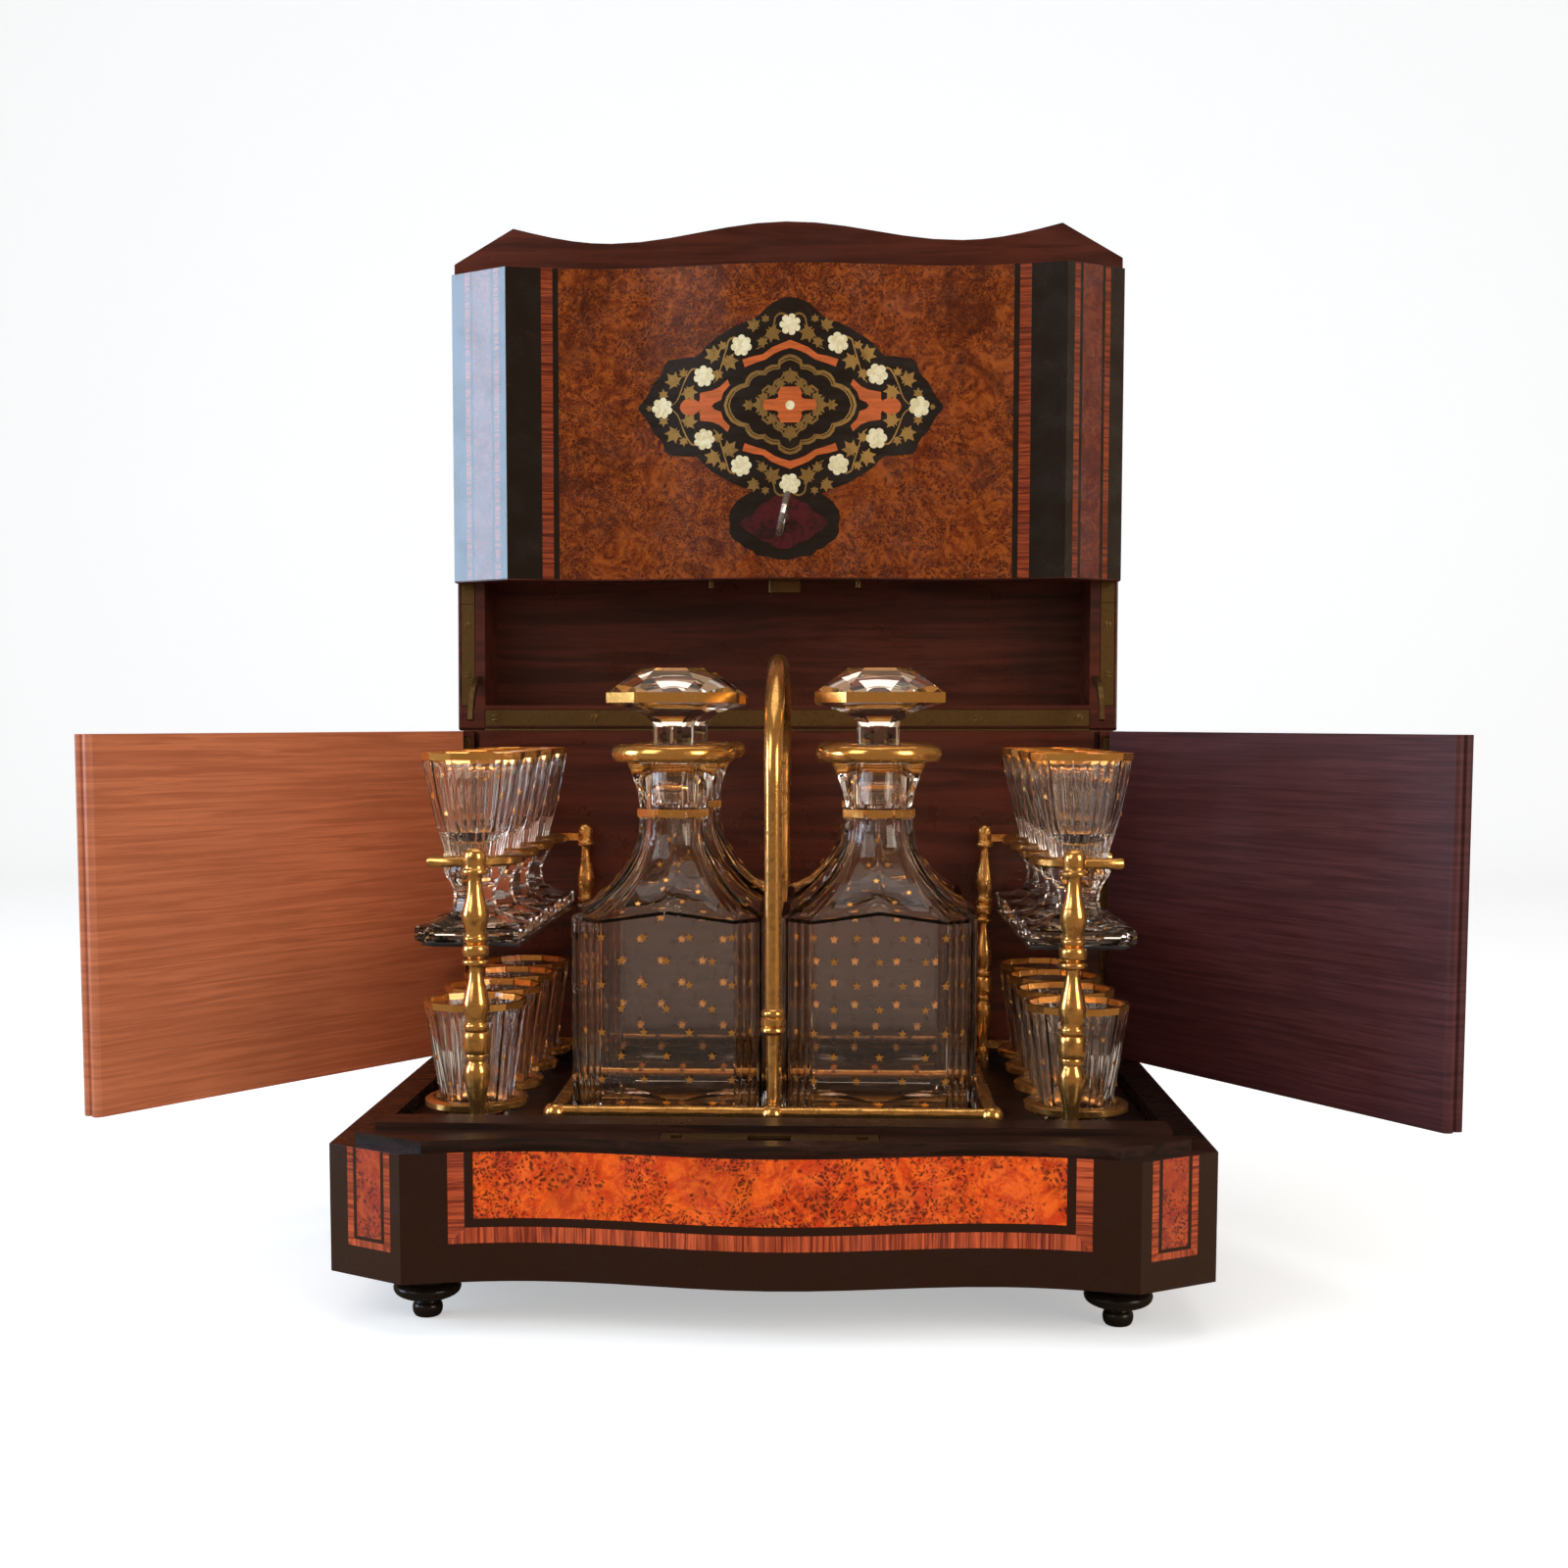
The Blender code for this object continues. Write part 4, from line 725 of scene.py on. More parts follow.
def screw(centre, axis, across, radius):
    """A slotted screw head: a low dome, cut by a slot along one direction."""
    axis, across = Vector(axis).normalized(), Vector(across).normalized()
    other = np.array(axis.cross(across))
    circle = polar(radius, about(24)) @ np.stack([across, other])
    dome = [circle * size + np.array(axis) * lift
            for size, lift in ((1.0, -0.0002), (1.0, 0.00003), (0.86, 0.00009), (0.4, 0.00013))]
    points = np.stack(dome)
    slot_share, slot_depth = 0.16, 0.0003
    inside = np.abs(points @ other) < radius * slot_share
    return skin(points - inside[..., None] * np.array(axis) * slot_depth + np.array(centre))


def lofted(levels, sections, ends=True):
    """Rings of (x, y) points at their heights."""
    sections = np.array(sections, float)
    heights = np.broadcast_to(np.array(levels, float)[:, None, None], (*sections.shape[:2], 1))
    return skin(np.concatenate([sections, heights], axis=-1), ends=ends)


def cut_square(half, cant, per_side, per_cant):
    """Points round a square with cut corners, starting at the middle of its right face."""
    corners = [(half, -(half - cant)), (half, half - cant), (half - cant, half)]
    quarter = np.concatenate([np.linspace(corners[0], corners[1], per_side, endpoint=False),
                              np.linspace(corners[1], corners[2], per_cant, endpoint=False)])
    turns = [np.array([[cos(a), -sin(a)], [sin(a), cos(a)]]) for a in (0, pi / 2, pi, 3 * pi / 2)]
    return np.concatenate([quarter @ turn.T for turn in turns])


def circle_like(outline, radius):
    """A circle whose points lie in the same directions as the outline's."""
    return outline / np.linalg.norm(outline, axis=1)[:, None] * radius


def octagon_like(outline, flat):
    """An octagon likewise, given the distance of its sides."""
    angle = np.arctan2(outline[:, 1], outline[:, 0])
    eighth = np.abs((angle + EIGHTH) % (2 * EIGHTH) - EIGHTH)
    return circle_like(outline, 1.0) * (flat / np.cos(eighth))[:, None]


# Measures of the glass, as the solids have them
DECANTER_HALF, DECANTER_CANT, BODY_TOP = 0.0385, 0.012, 0.086
NECK_RADIUS, NECK_FOOT, COLLAR_FOOT, COLLAR_TOP = 0.0145, 0.124, 0.1464, 0.1539
BORE_RADIUS, COLLAR_RADIUS, WALL, NECK_BAND = 0.0095, 0.0222, 0.004, 1.035
EIGHTH = pi / 8
NECK_FLAT, RIDGE = NECK_RADIUS * cos(EIGHTH) * 1.03, 0.0036
COLLAR_MIDDLE = (COLLAR_FOOT + COLLAR_TOP) / 2
# The flutes' ends, the depth of the cuts round the shoulder, its wall, the neck under the lip, and the lip
FLUTE_FOOT, FLUTE_TOP, SHOULDER_CUTS, SHOULDER_WALL = 0.0024, BODY_TOP - 0.001, 0.00035, 0.0016
NECK_BAND_HEIGHT, FLARE_RADIUS, LIP_WIDE, LIP_HIGH = 0.005, 0.0192, 0.0030, 0.0034
PER_SIDE, PER_CANT = 12, 12


def shoulder(part, from_middle):
    """How far the shoulder has narrowed, and its height, at a share of its climb, by the place on a face."""
    height = BODY_TOP + RIDGE * (1 - from_middle) * (1 - part) + (NECK_FOOT - BODY_TOP) * part ** 1.15
    return sin(part * pi / 2) ** 0.86, height


def decanter_parts():
    """Outer wall up, over the mouth and down the inside: cut square to circle, with flutes on the cants."""
    depth = settings("cabinet_glass").flute_depth
    body = cut_square(DECANTER_HALF, DECANTER_CANT, PER_SIDE, PER_CANT)
    step = np.arange(len(body)) % (PER_SIDE + PER_CANT)
    scallop = np.abs(np.sin(pi * (step - PER_SIDE) / 3)) * (step >= PER_SIDE)
    fluted = body - circle_like(body, 1.0) * (depth * scallop)[:, None]
    neck = octagon_like(body, NECK_FLAT)
    round_neck = circle_like(body, NECK_RADIUS)
    from_middle = np.clip(np.abs(step - PER_SIDE / 2) / (PER_SIDE / 2), 0, 1)
    rings = []

    def ring(points, height):
        rings.append(at_height(points, height))

    for size, height in ((0.90, 0.0), (0.955, 0.0), (0.992, 0.0010)):
        ring(body * size, height)
    for height in np.linspace(FLUTE_FOOT, FLUTE_TOP, 7):
        ring(fluted, height)
    for part in (0.0, *np.linspace(0.06, 1, 13)):
        narrow, height = shoulder(part, from_middle)
        wave = SHOULDER_CUTS * np.abs(np.sin(pi * step / 4)) * sin(pi * part)
        points = fluted * (1 - narrow) + neck * narrow
        ring(points - circle_like(points, 1.0) * wave[:, None], height)
    for size, lift in ((NECK_BAND, 0.0008), (NECK_BAND, 0.0040), (0.985, 0.0048)):
        ring(neck * size, NECK_FOOT + lift)
    flare_foot = NECK_FOOT + NECK_BAND_HEIGHT
    for part in np.linspace(0.15, 1, 6):
        wide = NECK_RADIUS + (FLARE_RADIUS - NECK_RADIUS) * part ** 1.8
        ring((neck * (1 - part) + round_neck * part) * wide / NECK_RADIUS,
             flare_foot + (COLLAR_FOOT - NECK_FOOT - NECK_BAND_HEIGHT) * part)
    for angle in np.radians(np.linspace(-60, 90, 6)):
        ring(circle_like(body, COLLAR_RADIUS + LIP_WIDE * cos(angle)), COLLAR_MIDDLE + LIP_HIGH * sin(angle))
    for radius, height in ((BORE_RADIUS + 0.001, COLLAR_TOP - 0.0002), (BORE_RADIUS, COLLAR_TOP - 0.0015),
                           (BORE_RADIUS, NECK_FOOT)):
        ring(circle_like(body, radius), height)
    hollow = cut_square(DECANTER_HALF - WALL, DECANTER_CANT * 0.7, PER_SIDE, PER_CANT)
    for part in np.linspace(1, 0, 9):
        narrow, height = shoulder(part, from_middle)
        ring(circle_like(body, BORE_RADIUS) * narrow + hollow * (1 - narrow), height - SHOULDER_WALL)
    for size, height in ((1.0, 0.020), (0.99, 0.0085), (0.90, 0.0068)):
        ring(hollow * size, height)
    return skin(np.stack(rings))


def collar_parts():
    """The gilt roll at the mouth, a half ring's section carried round."""
    angle = np.radians(np.linspace(-62, 84, 12))
    outer_wide, outer_high, inner_wide, inner_high, sunk = 0.0032, 0.0036, 0.0028, 0.0030, 0.0007
    outer = [(COLLAR_RADIUS + outer_wide * cos(a), COLLAR_MIDDLE + outer_high * sin(a)) for a in angle]
    inner = [(COLLAR_RADIUS - sunk + inner_wide * cos(a), COLLAR_MIDDLE + inner_high * sin(a))
             for a in angle[::-1]]
    return ring_of([*outer, *inner], 64)


def neck_band_parts():
    """Eight flat gilt panels round the foot of the neck."""
    reach, half = NECK_FLAT * NECK_BAND + 0.0001, NECK_RADIUS * sin(EIGHTH) * 0.97
    low, high = 0.0009, 0.0039
    parts = []
    for middle in about(8):
        outward, along = directions(middle)
        corners = [along * side + up_by(NECK_FOOT + height)
                   for side, height in ((-half, low), (half, low), (half, high), (-half, high))]
        parts.append(skin(np.array([[outward * (reach + lift) + corner for corner in corners]
                                    for lift in (-0.00015, 0.00015)])))
    return parts


def decanter_stars():
    """Gilt stars in staggered rows on each face, one column on each cant, and a few on the shoulders."""
    parts = []
    columns = ((-0.0178, 0, 0.0178), (-0.0255, -0.0089, 0.0089, 0.0255))
    low, high, clear = 0.014, 0.0794, 0.00006
    cant_distance = (DECANTER_HALF - DECANTER_CANT / 2) * 2 ** 0.5
    for turn in about(4):
        outward, along = directions(turn)
        for number, height in enumerate(np.linspace(low, high, 8)):
            for place in columns[number % 2]:
                centre = outward * (DECANTER_HALF + clear) + along * place + up_by(height)
                parts.append(star_on(centre, along, outward, 1.0))
            if number % 2:
                out, across = directions(turn + pi / 4)
                parts.append(star_on(out * cant_distance + up_by(height), across, out, 0.85))
        for part, place in ((0.16, -0.6), (0.16, 0.3), (0.30, 0.75), (0.38, -0.1), (0.56, -0.45),
                            (0.56, 0.35), (0.80, -0.1)):
            slope = []
            for share_up in (part, part + 0.02):
                narrow, height = shoulder(share_up, abs(place))
                slope.append((DECANTER_HALF * (1 - narrow) + NECK_FLAT * narrow, height))
            distance, height = slope[0]
            climb = Vector((slope[1][0] - distance, slope[1][1] - height)).normalized()
            normal = outward * climb.y - up_by(climb.x)
            half_flat = (DECANTER_HALF - DECANTER_CANT) * (1 - narrow) + NECK_FLAT * 0.41 * narrow
            centre = outward * distance + along * place * half_flat + up_by(height) - normal * 0.0001
            parts.append(star_on(centre, along, normal, 0.75, outward * climb.x + up_by(climb.y), 0.0002))
    return parts


STOPPER_HALF, STOPPER_CANT, STOPPER_TABLE, STOPPER_TOP = 0.02575, 0.0125, 0.0125, 0.0305
GIRDLE_FOOT, GIRDLE_TOP = 0.0167, 0.0207
PLUG_RADIUS, PLUG_LENGTH = 0.0089, 0.024


def stopper_parts():
    """Plug, faceted neck swept out in a hollow curve, straight girdle and sloped crown to a flat table."""
    girdle = cut_square(STOPPER_HALF, STOPPER_CANT, 4, 2)
    stem = octagon_like(girdle, 0.0080)
    levels = [-PLUG_LENGTH, -PLUG_LENGTH + 0.0006, 0.0, 0.0004]
    rings = [circle_like(girdle, PLUG_RADIUS - less) for less in (0.0013, 0.0006, 0.0)] + [stem * 0.98]
    for part in (0.0, 0.3, 0.45, 0.6, 0.72, 0.83, 0.92, 1.0):
        wide = max(0.0, (part - 0.3) / 0.7) ** 2.1
        levels.append(0.001 + (GIRDLE_FOOT - 0.001) * (0.12 + 0.88 * part))
        rings.append(stem * (1 - wide) + girdle * wide)
    levels += [GIRDLE_TOP, STOPPER_TOP]
    rings += [girdle, cut_square(STOPPER_TABLE, STOPPER_TABLE * 0.5, 4, 2)]
    return lofted(levels, rings)


def girdle_parts():
    """A thin gilt band round the stopper's girdle."""
    outer, inner = (cut_square(STOPPER_HALF + more, STOPPER_CANT, 4, 2) for more in (0.0002, -0.0003))
    levels = [GIRDLE_FOOT, GIRDLE_TOP, GIRDLE_TOP, GIRDLE_FOOT, GIRDLE_FOOT]
    return lofted(levels, [outer, outer, inner, inner, outer], ends=False)


GLASS_TOP, GLASS_RIM, GLASS_STEM = 0.0735, 0.0207, 0.0064
TUMBLER_TOP, TUMBLER_RIM, TUMBLER_FOOT = 0.0522, 0.0206, 0.0128
GLASS_SIDES, PER_GLASS_SIDE = 12, 8


def bowl_parts(outer, inner, depth):
    """Outer profile up, with flutes as deep as its third value says, and inner one down; twelve-sided."""
    depth *= settings("cabinet_glass").flute_depth
    angle, half_side = about(GLASS_SIDES * PER_GLASS_SIDE), pi / GLASS_SIDES
    facet = cos(half_side) / np.cos((angle + half_side) % (2 * half_side) - half_side)
    flute = np.abs(np.sin(angle * GLASS_SIDES))
    rings = []
    for radius, height, cutting in outer + [(radius, height, 0) for radius, height in inner]:
        reach = facet * (radius - cutting * depth * flute)
        rings.append(at_height(polar(reach, angle), height))
    return skin(np.stack(rings))


def stemmed_parts():
    """Square stepped foot, waisted stem with a cut knop, and a fluted bowl that widens to a faceted rim."""
    outer = [(0.0060, 0.0070, 0), (0.0112, 0.0078, 0), (0.0096, 0.0104, 0), (0.0086, 0.0130, 0),
             (0.0081, 0.0160, 0), (0.0084, 0.0190, 0), (0.0096, 0.0220, 0), (0.0117, 0.0252, 0),
             (0.0124, 0.0266, 0), (0.0121, 0.0280, 0.2), (0.0114, 0.0296, 0.4), (0.0114, 0.0330, 0.4),
             (0.0122, 0.0365, 0.6), (0.0134, 0.0405, 0.8), (0.0150, 0.0455, 1), (0.0165, 0.0520, 1),
             (0.0180, 0.0590, 1), (0.0192, 0.0660, 1), (0.0199, 0.0700, 0.5), (0.0203, 0.0716, 0),
             (GLASS_RIM, GLASS_TOP, 0)]
    inner = [(0.0192, GLASS_TOP), (0.0182, 0.0660), (0.0164, 0.0560), (0.0144, 0.0480), (0.0118, 0.0425),
             (0.0075, 0.0392), (0.0030, 0.0382)]
    levels, halves, cants = np.transpose([(0.0, 0.0197, 0.0016), (0.0008, 0.0204, 0.0016),
                                          (0.0050, 0.0204, 0.0016), (0.0057, 0.0200, 0.0016),
                                          (0.0072, 0.0140, 0.0050), (0.0098, 0.0100, 0.0040)])
    foot = lofted(levels, [cut_square(half, cant, 4, 2) for half, cant in zip(halves, cants)])
    return [bowl_parts(outer, inner, 1.4), foot]


def tumbler_parts():
    """A heavy base, a low cut step and a fluted wall that widens to a faceted rim."""
    outer = [(0.0112, 0.0, 0), (0.0126, 0.0006, 0), (0.0128, 0.0030, 0.2), (0.0133, 0.0090, 0.4),
             (0.0139, 0.0118, 0.2), (0.0147, 0.0131, 0.4), (0.0156, 0.0190, 1), (0.0174, 0.0310, 1),
             (0.0190, 0.0420, 1), (0.0199, 0.0480, 0.6), (0.02035, 0.0500, 0), (TUMBLER_RIM, TUMBLER_TOP, 0)]
    inner = [(0.0190, TUMBLER_TOP), (0.0172, 0.0400), (0.0142, 0.0220), (0.0124, 0.0110), (0.0105, 0.0088),
             (0.0040, 0.0082)]
    return [bowl_parts(outer, inner, 1.3)]


def rim_band(rim, top, slope):
    """A gilt band round a faceted rim, a hair outside it and over its edge."""
    height = settings("cabinet_glass").band_height
    low = rim - height * slope
    section = [(low + 0.0001, top - height), (rim + 0.00012, top + 0.00005), (rim - 0.0016, top + 0.00005),
               (rim - 0.0016, top - 0.0003), (rim - 0.0004, top - 0.0003), (low - 0.0003, top - height)]
    return ring_of(section, GLASS_SIDES, turn=pi / GLASS_SIDES)


def glass_stars(rim, foot, top, low, high, count):
    """A row of small stars round the wall."""
    parts = []
    for i, angle in enumerate(about(count)):
        out, along = directions(angle + pi / GLASS_SIDES * (i % 2))
        height = np.linspace(low, high, 3)[2 * i % 3]
        radius = foot + (rim - foot) * height / top
        parts.append(star_on(out * (radius + 0.0001) + up_by(height), along, out, 0.7, lift=0.0002))
    return parts


def moved(parts, x, y, z):
    return [(places + np.array([x, y, z]), faces) for places, faces in parts]


def centre_of(name):
    low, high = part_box(name)
    return (low[0] + high[0]) / 2, (low[1] + high[1]) / 2, low[2]


def give(nodes, finish):
    """A finish for CAD nodes that stay."""
    for name in nodes:
        obj = NODES[name]
        if obj.material_slots:
            obj.material_slots[0].material = finish
        else:
            obj.data.materials.append(finish)


class CABINET_OT_carcase(bpy.types.Operator):
    """Finish the solid woods of the base, back, sides and shelves"""
    bl_idname = "cabinet.carcase"
    bl_label = "Carcase"

    def execute(self, context):
        wood = settings("cabinet_veneer")
        give(["back_panel", "lid_tray", "flap_panel"],
             mahogany("Dark mahogany", scaled(wood.mahogany, 1.3), scaled(wood.mahogany, 0.5),
                      (9.0, 130.0, 130.0), 0.24))
        upright = (14.0, 14.0, 520.0)
        give(["left_door"], mahogany("Sunlit mahogany", (0.62, 0.190, 0.080), (0.42, 0.115, 0.048), upright,
                                     0.28))
        give(["right_door"], mahogany("Shaded mahogany", (0.105, 0.028, 0.030), (0.055, 0.013, 0.014),
                                      upright, 0.32))
        give(["base_floor_board", "base_bottom_board"],
             mahogany("Stained boards", (0.030, 0.010, 0.008), (0.008, 0.004, 0.004), (30.0, 260.0, 260.0),
                      0.3))
        give(["base_front_rail"],
             mahogany("Rail wood", (0.046, 0.014, 0.008), (0.012, 0.005, 0.003), (16.0, 300.0, 300.0), 0.26))
        give(["base_left_rail", "base_right_rail", "base_back_rail"], ebonised())
        for corner in CORNERS:
            name = "foot_" + corner
            x, y, _ = centre_of(name)
            outline = rounded([(0.0001, 0.0), (0.0038, 0.0), (0.0051, 0.0008), (0.0057, 0.0026),
                               (0.0056, 0.0046), (0.0046, 0.0064), (0.0078, 0.0072), (0.0114, 0.0088),
                               (0.0127, 0.0104), (0.0128, 0.0120), (0.0117, 0.0136), (0.0104, 0.0144),
                               (0.0109, 0.0154), (0.0112, 0.0168), (0.0105, 0.0182), (0.0088, 0.0191),
                               (0.0088, 0.0197), (0.0040, 0.0197), (0.0040, 0.0237), (0.0001, 0.0237)], 4)
            outline = np.clip(outline, (0.0001, 0.0), (0.0129, 0.0237))
            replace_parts(make(name + "_turning", [turned(outline, 40, (x, y, 0))], ebonised(), "cabinet"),
                        name)
        return {"FINISHED"}


class CABINET_OT_veneers(bpy.types.Operator):
    """Lay banded burl veneer over the serpentine fronts of the base and drop front, and over the lid"""
    bl_idname = "cabinet.veneers"
    bl_label = "Face veneers"

    def execute(self, context):
        proud = settings("cabinet_veneer").thickness
        base = banded("Base front veneer", True, 0.1085, 0.0438, 0.1346, 0.0304, 0.0355)
        drop = banded("Drop front veneer", False, 0.1052, -1.0, 0.129, 0.028, -1.0)
        height = FLAP_AXIS.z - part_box("flap_panel")[0][2]
        low, high = 0.0202, 0.0686
        make("base_veneer", [face_veneer(BASE_SIZES, low, high, proud)], base, "cabinet",
             Matrix.Translation((CENTRE_X, LID_AXIS.y - FRONT_DEPTH, 0)))
        low, high = -height + 0.0006, -0.0002
        make("drop_front_veneer", [face_veneer(FRONT_SIZES, low, high, proud)], drop, "flap",
             FLAP_TILT)
        low, high = 0.0008, 0.0435
        make("lid_front_veneer", [face_veneer(FRONT_SIZES, low, high, proud)], drop, "lid",
             LID_TILT @ Matrix.Translation((0, -FRONT_DEPTH, 0)))
        edge, front_edge, low, high = 0.0015, 0.0014, 0.0446, 0.0453
        x = np.linspace(edge - FRONT_SIZES[0], FRONT_SIZES[0] - edge, 65)
        front = front_edge - FRONT_DEPTH - bow_depth(x, FRONT_SIZES)
        sheet = sheet_between(x, front, np.full_like(x, -edge), low, high)
        top = banded("Lid top veneer", False, 0.120, -1.0, 0.5, 0.028, -1.0)
        make("lid_top_veneer", [sheet], top, "lid", LID_TILT)
        return {"FINISHED"}


# Marquetry, in metres on the drop front: across from its middle line, and down from its top edge
MIDDLE_HEIGHT = -0.0642
STEP = 0.0000985
DOT = 0.0021
# How far each layer stands over the veneer
LAYERS = {"ground": 0.00005, "shield": 0.00006, "field": 0.00010, "hole": 0.00012, "reserve": 0.00012,
          "stem": 0.00013, "line": 0.00014, "curl": 0.00015, "flower": 0.00016, "cross": 0.00018,
          "dot": 0.00024}
GROUND = [(770, 55), (730, 62), (683, 84), (655, 110), (620, 142), (585, 162), (540, 176), (495, 196),
          (425, 238), (380, 272), (345, 312), (325, 326), (278, 328), (197, 338), (178, 356), (170, 390),
          (153, 418), (124, 446), (104, 486), (84, 520), (53, 558), (53, 565)]
RING = [(770, 333), (745, 340), (722, 356), (716, 380), (683, 383), (661, 394), (648, 410), (614, 408),
        (586, 422), (570, 444), (563, 466), (531, 474), (499, 493), (477, 526), (466, 565)]
SHIELD = [(770, 905), (700, 925), (640, 960), (587, 992), (545, 1022), (516, 1062), (509, 1095), (516, 1140),
          (513, 1170), (530, 1202), (560, 1222), (585, 1246), (620, 1258), (640, 1284), (690, 1288),
          (728, 1300), (770, 1304)]
FIELD = [(770, 985), (735, 992), (700, 1018), (660, 1036), (635, 1068), (595, 1092), (555, 1129),
         (585, 1158), (625, 1180), (655, 1206), (700, 1222), (735, 1246), (770, 1252)]


def drawn(points):
    """Drawing units to metres, about the marquetry's own centre."""
    flat = np.array(points, float)
    return np.stack([(flat[:, 0] - 770) * STEP, -(flat[:, 1] - 565) * STEP * 0.967], axis=-1)


def all_round(quarter):
    """A quarter outline, from its top to its left, reflected into a whole one."""
    left_up = np.array(quarter)
    left = np.concatenate([left_up, mirrored(left_up[::-1], x=False, z=True)[1:]])
    return np.concatenate([left, mirrored(left[::-1])[1:-1]])


class CABINET_OT_marquetry(bpy.types.Operator):
    """Let the flower cartouche, its brass lines and the escutcheon into the drop front"""
    bl_idname = "cabinet.marquetry"
    bl_label = "Marquetry"

    def execute(self, context):
        shift = np.array([0.0026, MIDDLE_HEIGHT])
        ground = all_round(drawn(GROUND)) + shift
        key_height = JOINTS["key_turn"]["pos_m"][2] - FLAP_AXIS.z
        lock, hole = np.array([0.0, key_height - 0.0014]), np.array([0.0, key_height])
        shield, field = (self.about_lock(outline) + lock for outline in (SHIELD, FIELD))
        self.lay("marquetry_ground", [inlay(ground, shift, LAYERS["ground"], 12),
                                      inlay(shield, lock, LAYERS["shield"], 8)], ebonised(), "ebonised")
        self.lay("escutcheon_field", [inlay(field, lock, LAYERS["field"], 5)], red_shell())
        slot = np.array([(-0.0009, -0.0015), (0.0009, -0.0015), (0.0013, -0.0062),
                         (-0.0013, -0.0062)]) + hole
        middle = hole + (0, -0.004)
        self.lay("keyhole_shadow", [inlay(polar(DOT, about(24)) + hole, hole, LAYERS["hole"], 2),
                                    inlay(slot, middle, LAYERS["hole"], 2)], ebonised(), "ebonised")
        self.flowers(shift)
        self.reserves(shift)
        self.brass_lines(shift)
        return {"FINISHED"}

    @staticmethod
    def lay(name, parts, finish, slot="burl"):
        make(name, parts, finish, "flap", FLAP_TILT, smooth=30)

    @staticmethod
    def about_lock(left_half):
        """The left half of an outline under the cartouche, reflected into a whole one about the lock."""
        half = drawn(left_half) - (0, drawn([(770, 1122)])[0][1])
        return np.concatenate([half, mirrored(half[::-1])[1:-1]])

    def flowers(self, shift):
        """Pearl flowers round the border, a pearl dot in the middle and two by the lock."""
        places = drawn([(770, 185), (770, 943), (166, 566), (1374, 566), (542, 280), (992, 270), (365, 420),
                        (1176, 415), (366, 722), (1174, 720), (541, 853), (996, 849)])
        radius, turn = 0.0049, 0.4
        parts = [inlay(flower(place, radius, 7 - i % 2, turn * i), place, LAYERS["flower"], 3)
                 for i, place in enumerate(places + shift)]
        dot = drawn([(770, 568)])[0] + shift
        parts.append(inlay(dot + polar(DOT, about(24)), dot, LAYERS["dot"], 2))
        self.lay("pearl_flowers", parts, pearl())

    def reserves(self, shift):
        """Four tulipwood reserves round the centre, and the cross in it."""
        chevron = drawn([(552, 366), (600, 350), (648, 338), (690, 308), (722, 294), (770, 277), (818, 294),
                         (850, 308), (892, 338), (940, 350), (988, 366)])
        width = np.array([0.0036, 0.0032, 0.0027, 0.0030, 0.0030, 0.0036, 0.0030, 0.0030, 0.0027, 0.0032,
                          0.0036])
        parts = [line_inlay(mirrored(chevron, False, low) + shift, width, LAYERS["reserve"])
                 for low in (False, True)]
        left = drawn([(250, 565), (256, 546), (272, 530), (300, 524), (324, 531), (338, 545), (346, 530),
                      (346, 499), (403, 490), (440, 474), (477, 440), (488, 467), (458, 500), (446, 537),
                      (420, 544), (402, 565)])
        left = np.concatenate([left, mirrored(left[-2:0:-1], False, True)])
        for flip in (False, True):
            middle = mirrored(drawn([(376, 565)]), flip)[0] + shift
            parts.append(inlay(mirrored(left, flip) + shift, middle, LAYERS["reserve"], 4))
        cross = drawn([(645, 566), (648, 541), (700, 538), (716, 530), (712, 508), (728, 480), (812, 480),
                       (826, 508), (822, 530), (838, 538), (890, 541), (893, 566)])
        cross = np.concatenate([cross, mirrored(cross[-2:0:-1], False, True)])
        parts.append(inlay(cross + shift, shift, LAYERS["cross"], 3))
        self.lay("tulipwood_reserves", parts, tulipwood())

    def brass_lines(self, shift):
        """Double scalloped ring, curling stems and leaves between the flowers, and scrolls by the cross."""
        ring = all_round(drawn(RING))
        parts = [line_inlay(ring * scale + shift, width, LAYERS["line"], closed=True)
                 for scale, width in (((1.0, 1.0), 0.0014), ((0.945, 0.925), 0.0007))]
        stems = [[(756, 143), (727, 133), (702, 150), (693, 187), (668, 239), (645, 280), (612, 300)],
                 [(513, 239), (484, 253), (472, 293), (455, 349), (433, 422), (411, 455)],
                 [(337, 386), (308, 386), (286, 415), (266, 459), (241, 525), (212, 556)]]
        scroll = [(640, 500), (668, 478), (690, 482), (700, 455), (728, 440), (745, 415), (770, 405)]
        leaves = [((604, 187), 50, 2.6), ((684, 222), 62, 5.5), ((655, 160), 30, 1.6), ((640, 262), 40, 4.9),
                  ((414, 322), 62, 2.5), ((482, 352), 62, 5.4), ((455, 282), 34, 1.9), ((430, 410), 42, 4.6),
                  ((224, 440), 60, 2.3), ((292, 492), 58, 5.3), ((268, 405), 34, 1.5), ((172, 505), 36, 1.6),
                  ((106, 566), 22, 3.1)]
        tips = [((770, 440), 50, pi / 2), ((640, 566), 52, pi), ((690, 500), 40, 2.3), ((725, 470), 34, 2.0),
                ((650, 530), 34, 2.8), ((580, 566), 34, pi)]

        def line(points, steps, widest, narrowest, level, flips):
            smooth = rounded(drawn(points), steps)
            width = np.linspace(widest, narrowest, len(smooth))
            parts.append(line_inlay(mirrored(smooth, *flips) + shift, width, level))

        def spray(found, size_by, level, flips):
            for place, size, turn in found:
                centre = drawn([place])[0]
                shape, root = (mirrored(points, *flips) + shift
                               for points in (leaf(centre, size * STEP * size_by, turn), centre))
                parts.append(inlay(shape, root, level, 2))

